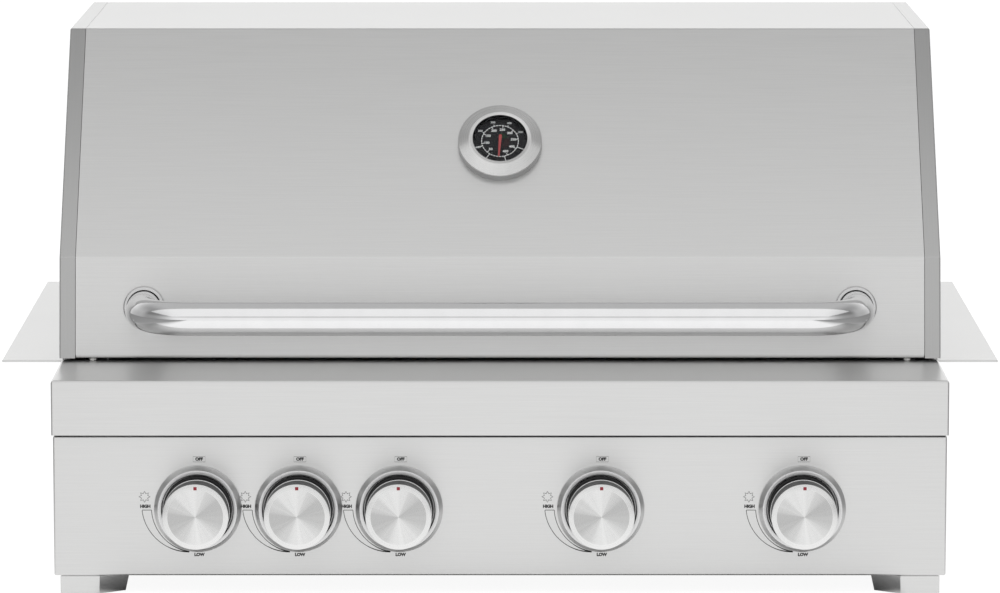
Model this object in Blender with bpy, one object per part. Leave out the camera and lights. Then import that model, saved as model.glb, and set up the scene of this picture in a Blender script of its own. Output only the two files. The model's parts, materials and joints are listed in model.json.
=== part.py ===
"""Built-in gas grill: a body that hangs in a counter, and a hinged hood above it.

Metres. +X is the cook's right, +Y points away from the cook, +Z is up. The floor under the
feet is Z = 0, and X = 0, Y = 0 is the middle of the whole grill.
"""
import math

import bmesh
import bpy
from mathutils import Matrix, Vector

# Fits and cuts
GAP = 0.0003
OVERRUN = 0.006
SHEET = 0.0015

# Front ledge
LEDGE_WIDTH = 0.800
LEDGE_FACE_HEIGHT = 0.050
LEDGE_DEPTH = 0.125

# Control panel
PANEL_END_SETBACK = 0.001
PANEL_HEIGHT = 0.1248
PANEL_SETBACK = 0.006
PANEL_SEAM = 0.0027
PANEL_RETURN_DEPTH = 0.024

# Feet
FOOT_HEIGHT = 0.0175
FOOT_PLATE = 0.002
FOOT_FRONT_WIDTH = 0.035
FOOT_WING_WIDTH = 0.026
FOOT_WING_DEPTH = 0.019
FOOT_WING_TAPER = 0.0035
FOOT_SIDE_SETBACK = 0.005
FOOT_EDGE_SETBACK = 0.005

# Body behind the panel
REAR_PANEL_INSET = 0.0272
SIDE_FLOOR_WIDTH = 0.020
UPSTAND_HEIGHT = 0.107
WING_DEPTH_BOTTOM = 0.096
WING_DEPTH_TOP = 0.156

# Counter flange
FLANGE_SIDE_REACH = 0.0556
FLANGE_REAR_REACH = 0.0957
FLANGE_FRONT_GAP = 0.008
FLANGE_PLATE = 0.002
FLANGE_DROP = 0.002

# Firebox
FIREBOX_AIR_GAP = 0.004
FIREBOX_STEP = 0.010
GRATE_LEDGE_DROP = 0.021
TAMER_LEDGE_RISE = 0.0255
FUNNEL_CLEARANCE = 0.0025
FUNNEL_WIDTH = 0.026
FUNNEL_FALL = 0.012

# Cooking grates and warming rack
GRATE_NAMES = ("left", "middle", "right")
GRATE_THICKNESS = 0.008
GRATE_BAR = 0.0075
GRATE_BAR_COUNT = 12
GRATE_PLAY = 0.0015
RACK_DEPTH = 0.150
RACK_ROD = 0.006
RACK_ROD_COUNT = 8
RACK_SIDE_BAR = 0.010

# Flame tamers
TAMER_WIDTH = 0.080
TAMER_FOOT = 0.012
TAMER_RISE = 0.026
TAMER_RIDGE = 0.010

# Burners
BURNER_COUNT = 4
BURNER_RADIUS = 0.014
BURNER_MOUTH_RADIUS = 0.0155
BURNER_MOUTH_LENGTH = 0.030
BURNER_BORE_RADIUS = 0.0100
BURNER_BORE_DEPTH = 0.026
REAR_BURNER_WIDTH = 0.500
REAR_BURNER_HEIGHT = 0.068
REAR_BURNER_DEPTH = 0.030
REAR_BURNER_BORDER = 0.009
REAR_BURNER_RECESS = 0.006
REAR_BURNER_RISE = 0.012

# Gas valves and manifold
VALVE_BOSS_RADIUS = 0.009
VALVE_BOSS_LENGTH = 0.010
VALVE_RADIUS = 0.013
VALVE_LENGTH = 0.027
NOZZLE_RADIUS = 0.0055
NOZZLE_LENGTH = 0.030
NOZZLE_REACH = 0.004
PLUG_RADIUS = 0.008
PLUG_FRONT_WALL = 0.0025
PLUG_REAR_WALL = 0.0045
STEM_RADIUS = 0.004
STEM_FLAT_DEPTH = 0.0012
VALVE_NECK_WIDTH = 0.014
VALVE_NECK_HEIGHT = 0.010
MANIFOLD_RADIUS = 0.011
MANIFOLD_OVERHANG = 0.030
INLET_CLEARANCE = 0.0035
INLET_RADIUS = 0.008
INLET_NUT_RADIUS = 0.012
INLET_NUT_HEIGHT = 0.010
INLET_NUT_SIDES = 6

# Knobs and their bezels
KNOB_AXIS_RISE = 0.0610
KNOB_STAND_OUT = 0.045
KNOB_RADIUS = 0.0296
KNOB_TAPER = 0.0011
KNOB_COLLAR_STEP = 0.0012
KNOB_COLLAR_LENGTH = 0.0045
KNOB_EDGE = 0.0016
KNOB_PUSH = 0.003
KNOB_GRIP_DEPTH = 0.0175
BEZEL_PLAY = 0.0009
BEZEL_RIM_WIDTH = 0.0036
BEZEL_SLOPE_WIDTH = 0.0038
BEZEL_SPACING = 0.0118
BEZEL_EDGE_HEIGHT = 0.0030
BEZEL_HEIGHT = 0.0095
BEZEL_FLOOR = 0.0015
BEZEL_HOLE_RADIUS = 0.0070

# Grease tray
TRAY_DROP = 0.0067
TRAY_FRONT_SETBACK = 0.150
TRAY_PULL_DEPTH = 0.014
TRAY_PULL_WIDTH = 0.300
TRAY_TAIL = 0.016
TRAY_SIDE_PLAY = 0.006
TRAY_CLEARANCE = 0.002

# Hood
HOOD_SIDE_OVERHANG = 0.0007
HOOD_LIFT = 0.003
HOOD_FRONT_SETBACK = 0.111
HOOD_HEM_DEPTH = 0.014
LOWER_FACE_RISE = 0.091
LOWER_FACE_SETBACK = 0.014
UPPER_FACE_RISE = 0.194
UPPER_FACE_RUN = 0.158
HOOD_TOP_DEPTH = 0.300
HOOD_TOP_FALL = 0.002
HOOD_BACK_OPENING = 0.074
CAP_FLANGE = 0.0145
CAP_HEEL_RISE = 0.037
CAP_HEEL_RUN = 0.038
LINER_SPACING = 0.012
LINER_SHEET = 0.0010

# Hinge
PIVOT_INSET = 0.043
PIVOT_RISE = 0.052
PIN_RADIUS = 0.0040
PIN_HEAD_RADIUS = 0.0075
PIN_HEAD_LENGTH = 0.0025
PIN_TAIL = 0.004

# Handle
HANDLE_DIAMETER = 0.031
HANDLE_SIDE_INSET = 0.0772
HANDLE_STANDOFF = 0.077
HANDLE_BEND = 0.046
HANDLE_RISE = 0.0495
ROSETTE_WIDTH = 0.0034
ROSETTE_THICKNESS = 0.006
ROSETTE_EDGE = 0.0015

# Thermometer
DIAL_CENTRE_UP_FACE = 0.121
GAUGE_RADIUS = 0.0385
GAUGE_EDGE_HEIGHT = 0.0082
GAUGE_MOUTH_RADIUS = 0.0256
GAUGE_RIM = 0.0012
GAUGE_DIAL_FLOOR = 0.0056
GAUGE_PROBE_RADIUS = 0.0040
GAUGE_PROBE_LENGTH = 0.060
DIAL_THICKNESS = 0.0010
POINTER_LENGTH = 0.0172
POINTER_TAIL = 0.0065
POINTER_WIDTH = 0.0026
POINTER_THICKNESS = 0.0006
POINTER_HUB_RADIUS = 0.0024
POINTER_REST_DEG = 184.0
LENS_THICKNESS = 0.0012
LENS_SINK = 0.0006
LENS_CLEARANCE = 0.0024

# Smoothness of round pieces
FINE_SIDES = 48
ROUND_SIDES = 32
PLAIN_SIDES = 16
BEND_STEPS = 7
SMOOTH_BELOW_DEG = 35

# Heights worked out from the sizes above
panel_bottom_z = FOOT_HEIGHT
panel_top_z = panel_bottom_z + PANEL_HEIGHT
ledge_bottom_z = panel_top_z + PANEL_SEAM
ledge_top_z = ledge_bottom_z + LEDGE_FACE_HEIGHT
flange_top_z = ledge_top_z - FLANGE_DROP
rim_z = flange_top_z
knob_axis_z = panel_bottom_z + KNOB_AXIS_RISE
upstand_top_z = flange_top_z + UPSTAND_HEIGHT
pivot_z = ledge_top_z + PIVOT_RISE
hood_bottom_z = ledge_top_z + HOOD_LIFT
crease_z = hood_bottom_z + LOWER_FACE_RISE
hood_top_front_z = crease_z + UPPER_FACE_RISE
hood_top_back_z = hood_top_front_z - HOOD_TOP_FALL
hood_back_bottom_z = hood_bottom_z + HOOD_BACK_OPENING
grate_ledge_z = rim_z - GRATE_LEDGE_DROP
tamer_ledge_z = knob_axis_z + BURNER_RADIUS + TAMER_LEDGE_RISE
funnel_top_z = knob_axis_z - BURNER_RADIUS - FUNNEL_CLEARANCE
handle_z = ledge_top_z + HANDLE_RISE
manifold_top_z = knob_axis_z - VALVE_RADIUS - VALVE_NECK_HEIGHT
manifold_z = manifold_top_z - MANIFOLD_RADIUS
tray_floor_z = panel_bottom_z + SHEET + GAP
inlet_face_z = panel_bottom_z + SHEET + INLET_CLEARANCE
tray_top_z = funnel_top_z - FUNNEL_FALL - TRAY_DROP

# Depths worked out from the sizes above: the knobs reach furthest forward, the flange furthest back
knob_reach = KNOB_STAND_OUT - PANEL_SETBACK
hood_depth = HOOD_FRONT_SETBACK + LOWER_FACE_SETBACK + UPPER_FACE_RUN + HOOD_TOP_DEPTH
body_depth = hood_depth - REAR_PANEL_INSET + SHEET
total_depth = knob_reach + body_depth + FLANGE_REAR_REACH
ledge_front_y = knob_reach - total_depth / 2
ledge_back_y = ledge_front_y + LEDGE_DEPTH
panel_front_y = ledge_front_y + PANEL_SETBACK
panel_back_y = panel_front_y + SHEET
side_front_y = panel_front_y + PANEL_RETURN_DEPTH + GAP
rear_panel_back_y = ledge_front_y + body_depth
rear_panel_y = rear_panel_back_y - SHEET
flange_front_y = ledge_back_y + FLANGE_FRONT_GAP
flange_back_y = rear_panel_back_y + FLANGE_REAR_REACH
hood_front_y = ledge_front_y + HOOD_FRONT_SETBACK
crease_y = hood_front_y + LOWER_FACE_SETBACK
hood_top_front_y = crease_y + UPPER_FACE_RUN
hood_back_y = hood_top_front_y + HOOD_TOP_DEPTH
pivot_y = hood_back_y - PIVOT_INSET
valve_front_y = panel_back_y + GAP
plug_start = VALVE_BOSS_LENGTH + PLUG_FRONT_WALL
plug_end = VALVE_BOSS_LENGTH + VALVE_LENGTH - PLUG_REAR_WALL
manifold_y = valve_front_y + VALVE_BOSS_LENGTH + VALVE_LENGTH / 2
nozzle_end_y = valve_front_y + VALVE_BOSS_LENGTH + VALVE_LENGTH + NOZZLE_LENGTH
burner_mouth_y = nozzle_end_y - NOZZLE_REACH
stem_tip_y = panel_front_y - KNOB_GRIP_DEPTH
tray_front_y = ledge_front_y + TRAY_FRONT_SETBACK

# Widths worked out from the sizes above
side_outer_x = LEDGE_WIDTH / 2 - PANEL_END_SETBACK
side_inner_x = side_outer_x - SHEET
cap_outer_x = LEDGE_WIDTH / 2 + HOOD_SIDE_OVERHANG
cap_inner_x = cap_outer_x - SHEET
shell_half_width = cap_outer_x - CAP_FLANGE - GAP
rear_half_width = side_inner_x - GAP
wing_inner_x = rear_half_width - SHEET
firebox_wall = FIREBOX_AIR_GAP + SHEET
deep_wall = firebox_wall + 2 * FIREBOX_STEP
flange_outer_x = side_outer_x + FLANGE_SIDE_REACH
handle_end_x = cap_outer_x - HANDLE_SIDE_INSET

# Radii that fit round one another
knob_collar_radius = KNOB_RADIUS + KNOB_COLLAR_STEP
bezel_mouth_radius = knob_collar_radius + BEZEL_PLAY
bezel_rim_radius = bezel_mouth_radius + BEZEL_RIM_WIDTH
bezel_radius = bezel_rim_radius + BEZEL_SLOPE_WIDTH
rosette_radius = HANDLE_DIAMETER / 2 + ROSETTE_WIDTH

# The gauge's place on the upper face of the hood
upper_face = Vector((0, UPPER_FACE_RUN, UPPER_FACE_RISE)).normalized()
gauge_centre = Vector((0, crease_y, crease_z)) + upper_face * DIAL_CENTRE_UP_FACE
gauge_tilt = math.atan2(UPPER_FACE_RISE, UPPER_FACE_RUN)
dial_low = GAUGE_DIAL_FLOOR + GAP
dial_high = dial_low + DIAL_THICKNESS
pointer_low = dial_high + GAP
hub_high = pointer_low + 2 * POINTER_THICKNESS
lens_low = hub_high + LENS_CLEARANCE
lens_high = lens_low + LENS_THICKNESS
gauge_height = lens_high + LENS_SINK

# Knobs 1, 3, 4 and 5 work the four main burners; knob 2 works the rear burner
burner_spacing = 2 * (2 * bezel_radius + BEZEL_SPACING)
burner_xs = [(index - (BURNER_COUNT - 1) / 2) * burner_spacing for index in range(BURNER_COUNT)]
rear_knob_x = (burner_xs[0] + burner_xs[1]) / 2
knob_xs = sorted(burner_xs + [rear_knob_x])


def clear_scene():
    for item in list(bpy.data.objects):
        bpy.data.objects.remove(item, do_unlink=True)


def material(name, colour, roughness, metallic):
    """A Principled material, made once and found again by name."""
    found = bpy.data.materials.get(name)
    if found:
        return found
    made = bpy.data.materials.new(name)
    made.use_nodes = True
    shader = made.node_tree.nodes["Principled BSDF"]
    shader.inputs["Base Color"].default_value = (*colour, 1)
    shader.inputs["Roughness"].default_value = roughness
    shader.inputs["Metallic"].default_value = metallic
    made.diffuse_color = (*colour, 1)
    return made


def brushed_steel():
    return material("brushed_steel", (0.74, 0.74, 0.74), 0.34, 1.0)


def polished_steel():
    return material("polished_steel", (0.82, 0.82, 0.82), 0.10, 1.0)


def plain_steel():
    return material("plain_steel", (0.55, 0.55, 0.56), 0.45, 1.0)


def brass():
    return material("brass", (0.70, 0.52, 0.25), 0.30, 1.0)


def dial_black():
    return material("dial_black", (0.015, 0.015, 0.017), 0.45, 0.0)


def pointer_red():
    return material("pointer_red", (0.75, 0.05, 0.03), 0.40, 0.0)


def clear_glass():
    return material("clear_glass", (0.95, 0.97, 0.97), 0.03, 0.0)


def add_object(name, bm, finish, smooth=False, spot=(0, 0, 0), tilt=0.0):
    """Turn a bmesh into an object; tilt turns it about X."""
    bmesh.ops.recalc_face_normals(bm, faces=bm.faces)
    mesh = bpy.data.meshes.new(name)
    bm.to_mesh(mesh)
    bm.free()
    if finish:
        mesh.materials.append(finish)
    if smooth:
        mesh.shade_smooth()
        mesh.set_sharp_from_angle(angle=math.radians(SMOOTH_BELOW_DEG))
    item = bpy.data.objects.new(name, mesh)
    item.location = spot
    item.rotation_euler = (tilt, 0, 0)
    bpy.context.scene.collection.objects.link(item)
    return item


def combine(target, bm, operation, label):
    """Cut a shape from an object, or join one to it, with a hidden helper."""
    helper = add_object(target.name + "_" + label, bm, None)
    helper.hide_render = True
    helper.display_type = "WIRE"
    change = target.modifiers.new(label, "BOOLEAN")
    change.operation = operation
    change.object = helper


def cut(target, bm, label):
    combine(target, bm, "DIFFERENCE", label)


def join(target, bm, label):
    combine(target, bm, "UNION", label)


def place(u, v, w, along):
    """A point from its place (u, v) in a section and w along the section's axis."""
    return {"x": (w, u, v), "y": (u, w, v), "z": (u, v, w)}[along]


def prism(bm, outline, start, end, along, end_outline=None):
    """A closed solid between an outline at start and the same, or another, at end."""
    first = [bm.verts.new(place(u, v, start, along)) for u, v in outline]
    last = [bm.verts.new(place(u, v, end, along)) for u, v in end_outline or outline]
    bm.faces.new(first)
    bm.faces.new(last)
    for index in range(len(first)):
        bm.faces.new((first[index - 1], first[index], last[index], last[index - 1]))


def box(bm, low, high):
    """A closed box between two corners."""
    outline = [(low[0], low[1]), (high[0], low[1]), (high[0], high[1]), (low[0], high[1])]
    prism(bm, outline, low[2], high[2], "z")


def circle(radius, sides, centre=(0, 0)):
    """Points round a circle, starting half a side past the first axis."""
    turns = [2 * math.pi * (index + 1 / 2) / sides for index in range(sides)]
    return [(centre[0] + radius * math.cos(turn), centre[1] + radius * math.sin(turn)) for turn in turns]


def rod(bm, radius, start, end, along, centre, sides=PLAIN_SIDES):
    """A closed round bar along one axis, through centre in the section across it."""
    prism(bm, circle(radius, sides, centre), start, end, along)


def turned(profile, sides, closed=False):
    """Turn (radius, height) points about Z: a solid whose ends lie on the axis, or a closed ring."""
    bm = bmesh.new()
    rings = []
    for radius, height in profile:
        if radius == 0:
            rings.append([bm.verts.new((0, 0, height))])
        else:
            rings.append([bm.verts.new((x, y, height)) for x, y in circle(radius, sides)])
    pairs = list(zip(rings, rings[1:]))
    if closed:
        pairs.append((rings[-1], rings[0]))
    for lower, upper in pairs:
        for index in range(sides):
            corners = [lower[index - 1], lower[index]] if len(lower) > 1 else [lower[0]]
            corners += [upper[index], upper[index - 1]] if len(upper) > 1 else [upper[0]]
            bm.faces.new(corners)
    return bm


def offset(path, thickness):
    """The path moved to its right by thickness, with mitred corners."""
    points = [Vector(point) for point in path]
    steps = [(after - before).normalized() for before, after in zip(points, points[1:])]
    rights = [Vector((step.y, -step.x)) for step in steps]
    moved = []
    for index, point in enumerate(points):
        before = rights[max(index - 1, 0)]
        after = rights[min(index, len(rights) - 1)]
        moved.append(point + (before + after) * thickness / (1 + before.dot(after)))
    return [tuple(point) for point in moved]


def folded(path, thickness):
    """Closed outline of a folded sheet whose face follows the path, the sheet lying to its right."""
    return list(path) + offset(path, thickness)[::-1]


def sweep_round_rectangle(bm, outline, half_x, front_y, back_y):
    """Carry a closed outline of (inset, height) points round a rectangle."""
    rings = []
    for inset, z in outline:
        x = half_x - inset
        front = front_y + inset
        back = back_y - inset
        corners = ((-x, front, z), (x, front, z), (x, back, z), (-x, back, z))
        rings.append([bm.verts.new(corner) for corner in corners])
    for index, ring in enumerate(rings):
        before = rings[index - 1]
        for corner in range(4):
            bm.faces.new((before[corner - 1], before[corner], ring[corner], ring[corner - 1]))


def grid_solid(bm, xs, ys, low_z, high_z, filled):
    """A flat lattice: each cell of the grid that filled(i, j) names is solid, the rest is open."""
    columns = len(xs) - 1
    rows = len(ys) - 1
    verts = {}

    def vert(i, j, z):
        if (i, j, z) not in verts:
            verts[i, j, z] = bm.verts.new((xs[i], ys[j], z))
        return verts[i, j, z]

    def solid(i, j):
        return 0 <= i < columns and 0 <= j < rows and filled(i, j)

    for i in range(columns):
        for j in range(rows):
            if not solid(i, j):
                continue
            corners = [(i, j), (i + 1, j), (i + 1, j + 1), (i, j + 1)]
            bm.faces.new([vert(*corner, high_z) for corner in corners])
            bm.faces.new([vert(*corner, low_z) for corner in reversed(corners)])
            neighbours = [(i, j - 1), (i + 1, j), (i, j + 1), (i - 1, j)]
            for side, neighbour in enumerate(neighbours):
                if not solid(*neighbour):
                    a = corners[side]
                    b = corners[(side + 1) % 4]
                    bm.faces.new((vert(*a, low_z), vert(*b, low_z), vert(*b, high_z), vert(*a, high_z)))


def bar_edges(low, high, bar, count):
    """Edges of evenly spaced bars between two limits, with a bar at each end."""
    pitch = (high - low - bar) / (count - 1)
    starts = [low + index * pitch for index in range(count)]
    return sorted(starts + [start + bar for start in starts])


def side_name(side):
    return "left" if side < 0 else "right"


def front_ledge():
    """The ledge over the controls: a box of folded sheet, open underneath."""
    half = LEDGE_WIDTH / 2
    bm = bmesh.new()
    box(bm, (-half, ledge_front_y, ledge_bottom_z), (half, ledge_back_y, ledge_top_z))
    ledge = add_object("front_ledge", bm, brushed_steel())
    hollow = bmesh.new()
    box(hollow, (SHEET - half, ledge_front_y + SHEET, ledge_bottom_z - OVERRUN),
        (half - SHEET, ledge_back_y - SHEET, ledge_top_z - SHEET))
    cut(ledge, hollow, "hollow")


def control_panel():
    """The panel: a shallow tray of sheet set on edge, with a hole for each valve stem."""
    half = side_outer_x
    back_y = panel_front_y + PANEL_RETURN_DEPTH
    bm = bmesh.new()
    box(bm, (-half, panel_front_y, panel_bottom_z), (half, back_y, panel_top_z))
    panel = add_object("control_panel", bm, brushed_steel())
    hollow = bmesh.new()
    box(hollow, (SHEET - half, panel_back_y, panel_bottom_z + SHEET),
        (half - SHEET, back_y + OVERRUN, panel_top_z - SHEET))
    cut(panel, hollow, "hollow")
    holes = bmesh.new()
    for x in knob_xs:
        rod(holes, BEZEL_HOLE_RADIUS, panel_front_y - OVERRUN, panel_back_y + OVERRUN, "y", (x, knob_axis_z))
    cut(panel, holes, "stem_holes")


def side_panel(side):
    """A side of the body, notched under the ledge, with a floor strip folded inwards."""
    notch_y = ledge_back_y + GAP
    notch_z = ledge_bottom_z - GAP
    outline = [
        (side_front_y, panel_bottom_z),
        (rear_panel_back_y, panel_bottom_z),
        (rear_panel_back_y, flange_top_z),
        (notch_y, flange_top_z),
        (notch_y, notch_z),
        (side_front_y, notch_z),
    ]
    bm = bmesh.new()
    prism(bm, outline, side * side_inner_x, side * side_outer_x, "x")
    panel = add_object("side_panel_" + side_name(side), bm, plain_steel())
    floor = bmesh.new()
    edges = sorted((side * (side_outer_x - SIDE_FLOOR_WIDTH), side * (side_outer_x - SHEET / 2)))
    box(floor, (edges[0], side_front_y, panel_bottom_z),
        (edges[1], rear_panel_back_y, panel_bottom_z + SHEET))
    join(panel, floor, "floor")


def rear_panel():
    """The back of the body, whose upper part folds forward into two wings for the hinge."""
    half = rear_half_width
    wing_foot_z = rim_z + GAP

    def fold(depth):
        front_y = rear_panel_back_y - depth
        path = [(-half, front_y), (-half, rear_panel_back_y), (half, rear_panel_back_y), (half, front_y)]
        return folded(path, SHEET)

    bm = bmesh.new()
    prism(bm, fold(WING_DEPTH_BOTTOM), wing_foot_z, upstand_top_z, "z", fold(WING_DEPTH_TOP))
    panel = add_object("rear_panel", bm, plain_steel())
    skirt = bmesh.new()
    box(skirt, (-half, rear_panel_y, tray_top_z + TRAY_CLEARANCE),
        (half, rear_panel_back_y, wing_foot_z + OVERRUN))
    join(panel, skirt, "skirt")
    holes = bmesh.new()
    rod(holes, PIN_RADIUS + GAP, -half - OVERRUN, half + OVERRUN, "x", (pivot_y, pivot_z))
    cut(panel, holes, "hinge_holes")


def counter_flange():
    """The flat frame that rests on the counter round three sides of the body."""
    outer = flange_outer_x
    inner = side_outer_x + GAP
    inner_back_y = rear_panel_back_y + GAP
    outline = [
        (-outer, flange_front_y),
        (-inner, flange_front_y),
        (-inner, inner_back_y),
        (inner, inner_back_y),
        (inner, flange_front_y),
        (outer, flange_front_y),
        (outer, flange_back_y),
        (-outer, flange_back_y),
    ]
    bm = bmesh.new()
    prism(bm, outline, flange_top_z - FLANGE_PLATE, flange_top_z, "z")
    add_object("counter_flange", bm, brushed_steel())


def foot(side, front):
    """A foot bent from plate: a flat face, a wing that folds inwards, and a lid under the body."""
    facing = 1 if front else -1
    face_y = panel_front_y + FOOT_EDGE_SETBACK if front else rear_panel_back_y - FOOT_EDGE_SETBACK
    corner_x = side_outer_x - FOOT_SIDE_SETBACK
    top_z = panel_bottom_z - GAP

    fold_x = corner_x - FOOT_FRONT_WIDTH

    def face_path(start_x, kept):
        tip = (fold_x - FOOT_WING_WIDTH * kept, face_y + facing * FOOT_WING_DEPTH * kept)
        return [(start_x, face_y), (fold_x, face_y), tip]

    def outline(taper):
        points = folded(face_path(corner_x, 1 - taper / FOOT_WING_WIDTH), FOOT_PLATE * facing)
        return [(side * x, y) for x, y in points]

    bm = bmesh.new()
    prism(bm, outline(FOOT_WING_TAPER), 0, top_z - FOOT_PLATE / 2, "z", outline(0))
    place_name = ("front_" if front else "rear_") + side_name(side)
    piece = add_object("foot_" + place_name, bm, brushed_steel())
    lid = bmesh.new()
    lid_side_x = corner_x - FOOT_PLATE / 2
    seat = offset(face_path(lid_side_x, 1), facing * FOOT_PLATE / 2)
    corners = [(side * x, y) for x, y in seat + [(lid_side_x, seat[-1][1])]]
    prism(lid, corners, top_z - FOOT_PLATE, top_z, "z")
    join(piece, lid, "lid")


def firebox():
    """A stepped tub: the upper ledge carries the grates, the lower one the flame tamers."""
    steps = [
        (GAP, rim_z),
        (firebox_wall, rim_z),
        (firebox_wall, grate_ledge_z),
        (firebox_wall + FIREBOX_STEP, grate_ledge_z),
        (firebox_wall + FIREBOX_STEP, tamer_ledge_z),
        (deep_wall, tamer_ledge_z),
        (deep_wall, funnel_top_z),
        (deep_wall + FUNNEL_WIDTH, funnel_top_z - FUNNEL_FALL),
    ]
    bm = bmesh.new()
    sweep_round_rectangle(bm, folded(steps, SHEET), side_inner_x, ledge_back_y, rear_panel_y)
    tub = add_object("firebox", bm, plain_steel())
    holes = bmesh.new()
    wall_y = ledge_back_y + deep_wall
    for x in burner_xs:
        rod(holes, BURNER_RADIUS + GAP, wall_y - OVERRUN, wall_y + OVERRUN, "y", (x, knob_axis_z))
    cut(tub, holes, "burner_holes")


def cooking_grates():
    """Bar grates side by side on the firebox's upper ledge."""
    half = side_inner_x - firebox_wall - GRATE_PLAY
    front_y = ledge_back_y + firebox_wall + GRATE_PLAY
    back_y = rear_panel_y - firebox_wall - GRATE_PLAY
    pitch = 2 * half / len(GRATE_NAMES)
    low_z = grate_ledge_z + GAP
    ys = [front_y, front_y + GRATE_BAR, back_y - GRATE_BAR, back_y]
    for index, label in enumerate(GRATE_NAMES):
        low_x = index * pitch - half + GRATE_PLAY / 2
        xs = bar_edges(low_x, low_x + pitch - GRATE_PLAY, GRATE_BAR, GRATE_BAR_COUNT)
        bm = bmesh.new()
        grid_solid(bm, xs, ys, low_z, low_z + GRATE_THICKNESS, lambda i, j: i % 2 == 0 or j != 1)
        add_object("cooking_grate_" + label, bm, polished_steel())


def flame_tamer(index, x):
    """A tent of sheet over one burner, its ends on the firebox's lower ledge."""
    foot_z = tamer_ledge_z + GAP
    half = TAMER_WIDTH / 2
    path = [
        (x - half, foot_z + SHEET),
        (x - half + TAMER_FOOT, foot_z + SHEET),
        (x - TAMER_RIDGE / 2, foot_z + TAMER_RISE),
        (x + TAMER_RIDGE / 2, foot_z + TAMER_RISE),
        (x + half - TAMER_FOOT, foot_z + SHEET),
        (x + half, foot_z + SHEET),
    ]
    inset = firebox_wall + FIREBOX_STEP + GRATE_PLAY
    bm = bmesh.new()
    prism(bm, folded(path, SHEET), ledge_back_y + inset, rear_panel_y - inset, "y")
    add_object("flame_tamer_%d" % index, bm, plain_steel())


def burner(index, x):
    """A tube burner: an open mouth in front of the firebox, and a tube to its rear wall."""
    length = rear_panel_y - deep_wall - GAP - burner_mouth_y
    profile = [
        (0, BURNER_BORE_DEPTH),
        (BURNER_BORE_RADIUS, BURNER_BORE_DEPTH),
        (BURNER_BORE_RADIUS, 0),
        (BURNER_MOUTH_RADIUS, 0),
        (BURNER_MOUTH_RADIUS, BURNER_MOUTH_LENGTH),
        (BURNER_RADIUS, BURNER_MOUTH_LENGTH),
        (BURNER_RADIUS, length),
        (0, length),
    ]
    bm = turned(profile, PLAIN_SIDES)
    add_object("burner_%d" % index, bm, plain_steel(), True, (x, burner_mouth_y, knob_axis_z), -math.pi / 2)


def rear_burner():
    """The burner box on the rear panel, with a recessed face behind the grates."""
    back_y = rear_panel_y - GAP
    front_y = back_y - REAR_BURNER_DEPTH
    half = REAR_BURNER_WIDTH / 2
    low_z = rim_z + REAR_BURNER_RISE
    high_z = low_z + REAR_BURNER_HEIGHT
    bm = bmesh.new()
    box(bm, (-half, front_y, low_z), (half, back_y, high_z))
    piece = add_object("rear_burner", bm, plain_steel())
    recess = bmesh.new()
    edge = REAR_BURNER_BORDER
    box(recess, (edge - half, front_y - OVERRUN, low_z + edge),
        (half - edge, front_y + REAR_BURNER_RECESS, high_z - edge))
    cut(piece, recess, "recess")


def warming_rack():
    """A rack of rods whose two side bars lie on the hinge wings."""
    half = rear_half_width
    back_y = rear_panel_y - GRATE_PLAY
    ys = bar_edges(back_y - RACK_DEPTH, back_y, RACK_ROD, RACK_ROD_COUNT)
    xs = [-half, RACK_SIDE_BAR - half, -RACK_SIDE_BAR / 2, RACK_SIDE_BAR / 2, half - RACK_SIDE_BAR, half]
    low_z = upstand_top_z + GAP
    bm = bmesh.new()
    grid_solid(bm, xs, ys, low_z, low_z + RACK_ROD, lambda i, j: i % 2 == 0 or j % 2 == 0)
    add_object("warming_rack", bm, polished_steel())


def stem_section(radius):
    """A round section with a flat on its lower side."""
    flat = radius - STEM_FLAT_DEPTH
    return [(x, max(z, -flat)) for x, z in circle(radius, PLAIN_SIDES)]


def valve_body(index, x):
    """A gas valve behind the panel: boss, body and nozzle in line, and a neck on the manifold."""
    body_start = VALVE_BOSS_LENGTH
    body_end = body_start + VALVE_LENGTH
    bore = PLUG_RADIUS + GAP
    profile = [
        (0, plug_end + GAP),
        (bore, plug_end + GAP),
        (bore, plug_start - GAP),
        (STEM_RADIUS + GAP, plug_start - GAP),
        (STEM_RADIUS + GAP, 0),
        (VALVE_BOSS_RADIUS, 0),
        (VALVE_BOSS_RADIUS, body_start),
        (VALVE_RADIUS, body_start),
        (VALVE_RADIUS, body_end),
        (NOZZLE_RADIUS, body_end),
        (NOZZLE_RADIUS, body_end + NOZZLE_LENGTH),
        (0, body_end + NOZZLE_LENGTH),
    ]
    bm = turned(profile, PLAIN_SIDES)
    spot = (x, valve_front_y, knob_axis_z)
    valve = add_object("valve_body_%d" % index, bm, brass(), True, spot, -math.pi / 2)
    neck = bmesh.new()
    half = VALVE_NECK_WIDTH / 2
    skin = (VALVE_RADIUS - PLUG_RADIUS - GAP) / 2
    box(neck, (x - half, manifold_y - half, manifold_top_z + GAP),
        (x + half, manifold_y + half, knob_axis_z - VALVE_RADIUS + skin))
    join(valve, neck, "neck")


def valve_stem(index, x):
    """The part that turns in the valve: a plug, and a flatted stem for the knob."""
    section = [(x + u, knob_axis_z + v) for u, v in stem_section(STEM_RADIUS)]
    bm = bmesh.new()
    prism(bm, section, stem_tip_y, valve_front_y + plug_start + OVERRUN, "y")
    stem = add_object("valve_stem_%d" % index, bm, brass())
    stem_origin(stem, x)
    plug = bmesh.new()
    rod(plug, PLUG_RADIUS, valve_front_y + plug_start, valve_front_y + plug_end, "y", (x, knob_axis_z))
    join(stem, plug, "plug")


def stem_origin(item, x):
    """Put a turning piece's origin on its axis, at the panel's face."""
    origin = Vector((x, panel_front_y, knob_axis_z))
    for vert in item.data.vertices:
        vert.co -= origin
    item.location = origin


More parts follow.
